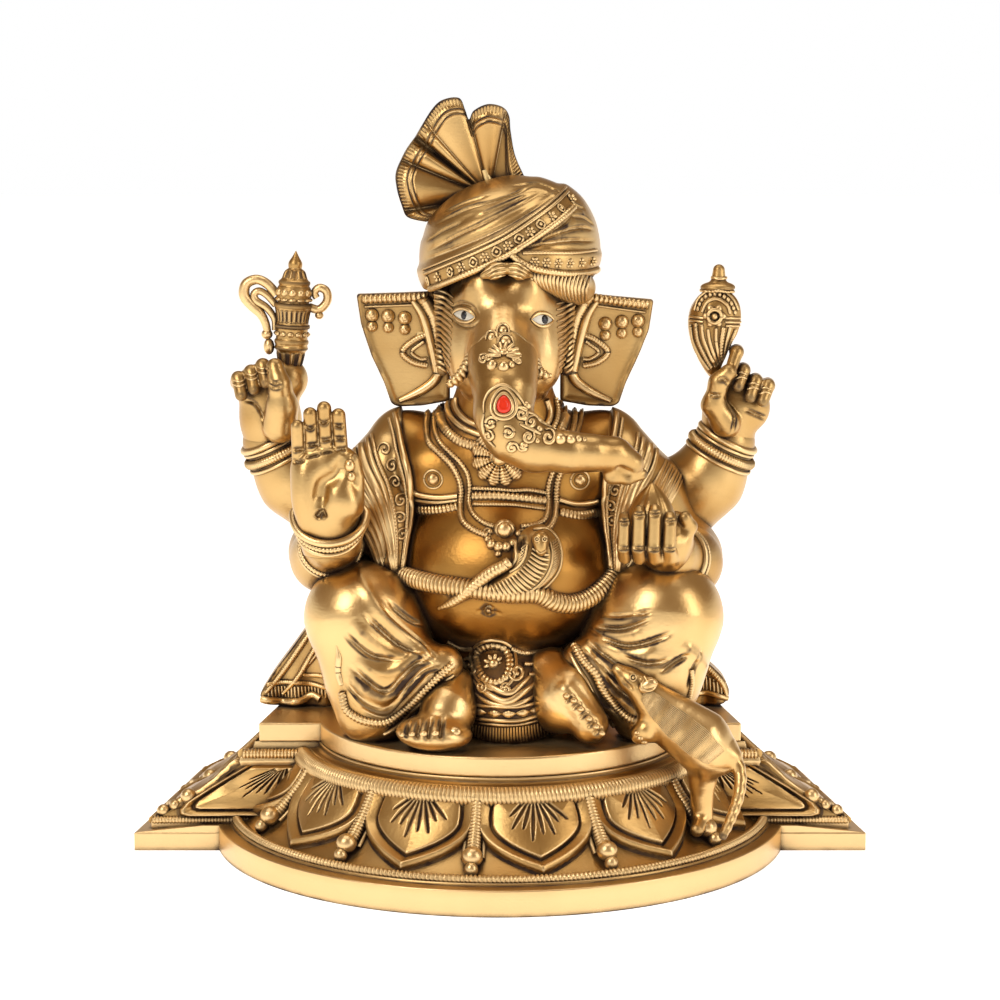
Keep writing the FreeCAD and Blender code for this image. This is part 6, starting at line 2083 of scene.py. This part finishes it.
def turned_metal(name, colour, rough):
    """Bare metal with fine turning marks."""
    material = glossy(name, colour, rough, 1.0)
    tree = material.node_tree
    marks, bump = tree.nodes.new("ShaderNodeTexNoise"), tree.nodes.new("ShaderNodeBump")
    marks.inputs["Scale"].default_value = 900.0
    bump.inputs["Strength"].default_value = 0.25
    bump.inputs["Distance"].default_value = 0.0003
    tree.links.new(marks.outputs["Fac"], bump.inputs["Height"])
    surface = next(node for node in tree.nodes if node.type == "BSDF_PRINCIPLED")
    tree.links.new(bump.outputs[0], surface.inputs["Normal"])
    return material


def refine_hidden_parts():
    """Finishes for the CAD pieces that stay: rods, screws and bolts."""
    for nodes, material in ((TURNED_ROD, turned_metal("drawn brass rod", (0.80, 0.60, 0.28), 0.34)),
                            (BOLTS, turned_metal("zinc plated steel", (0.62, 0.63, 0.65), 0.36))):
        for node in nodes:
            for place in bpy.data.objects[node].material_slots:
                place.material = material


# ---- stage: floor, light and camera ------------------------------------------------------------------
def plain(name, colour, rough=0.6, glow=0.0):
    """Matt paint, which may glow a little."""
    material = bpy.data.materials.new(name)
    material.use_nodes = True
    surface = material.node_tree.nodes["Principled BSDF"]
    surface.inputs["Base Color"].default_value = (*colour, 1)
    surface.inputs["Roughness"].default_value = rough
    if glow:
        surface.inputs["Emission Color"].default_value = (*colour, 1)
        surface.inputs["Emission Strength"].default_value = glow
    return material


def soft_box(name, place, target, size, watts):
    """Rectangular lamp aimed at a target."""
    light = bpy.data.lights.new(name, "AREA")
    light.shape, light.size, light.size_y, light.energy = "RECTANGLE", *size, watts
    obj = bpy.data.objects.new(name, light)
    obj.location = place
    aim = np.array(target) - np.array(place)
    obj.rotation_euler = Vector(aim).to_track_quat("-Z", "Y").to_euler()
    bpy.context.scene.collection.objects.link(obj)
    return obj


FLOOR_GLOW = 0.90               # keeps the paper white right up to the base
ROOM = (0.30, 0.21, 0.13)       # colour of the room above the horizon
LIT_POINT = (0, 0, 0.16)        # metres, as are the places of the lamps and the camera
LAMPS = (("key", (-0.75, -0.9, 1.05), (0.7, 0.9), 8.5),
         ("right", (1.1, -0.6, 0.7), (0.5, 1.0), 4.5),
         ("top", (0.0, 0.1, 1.5), (1.2, 0.8), 5.5))
CAMERA_PLACE = (0, -1.190, 0.330)
CAMERA_TILT = 8.6               # degrees it looks down
LENS, SENSOR = 99.3, 36.0       # millimetres


def white_horizon():
    """Warm dim room that turns white towards the horizon, like a sheet of paper behind the object."""
    world = bpy.data.worlds.new("studio")
    world.use_nodes = True
    tree = world.node_tree
    place, parts = tree.nodes.new("ShaderNodeTexCoord"), tree.nodes.new("ShaderNodeSeparateXYZ")
    fade = tree.nodes.new("ShaderNodeValToRGB")
    fade.color_ramp.interpolation = "EASE"
    for stop, level, colour in zip(fade.color_ramp.elements, (0.08, 0.30), ((1, 1, 1), ROOM)):
        stop.position = level
        stop.color = (*colour, 1)
    tree.links.new(place.outputs["Generated"], parts.inputs[0])
    tree.links.new(parts.outputs["Z"], fade.inputs["Fac"])
    tree.links.new(fade.outputs["Color"], tree.nodes["Background"].inputs["Color"])
    return world


def stage_and_light():
    """Floor of white paper, the room round it and three lamps."""
    bpy.ops.mesh.primitive_plane_add(size=14, location=(0, 0, 0))
    floor = bpy.context.object
    floor.name = "floor"
    floor.data.materials.append(plain("white floor", (0.93, 0.93, 0.93), 0.75, FLOOR_GLOW))
    bpy.context.scene.world = white_horizon()
    for name, place, size, watts in LAMPS:
        soft_box(name, place, LIT_POINT, size, watts)


def camera():
    """Camera in front of the idol, a little above it."""
    data = bpy.data.cameras.new("camera")
    data.lens, data.sensor_width = LENS, SENSOR
    obj = bpy.data.objects.new("camera", data)
    obj.location = CAMERA_PLACE
    obj.rotation_euler = (math.radians(90 - CAMERA_TILT), 0, 0)
    bpy.context.scene.collection.objects.link(obj)
    bpy.context.scene.camera = obj


lotus_base()
seat_plate()
head()
eyes()
trunk()
trunk_jewel()
tusks()
ear(-1)
ear(1)
turban()
plume()
torso()
right_leg()
left_leg()
feet()
lower_right_arm()
lower_left_arm()
upper_arms()
raised_palm_hand()
giving_hand()
modak()
upper_hands()
goad()
conch()
snake_belt()
shawl_end(-1)
shawl_end(1)
mouse()
stage_and_light()
camera()
refine_hidden_parts()
bpy.context.scene.view_settings.view_transform = "Standard"
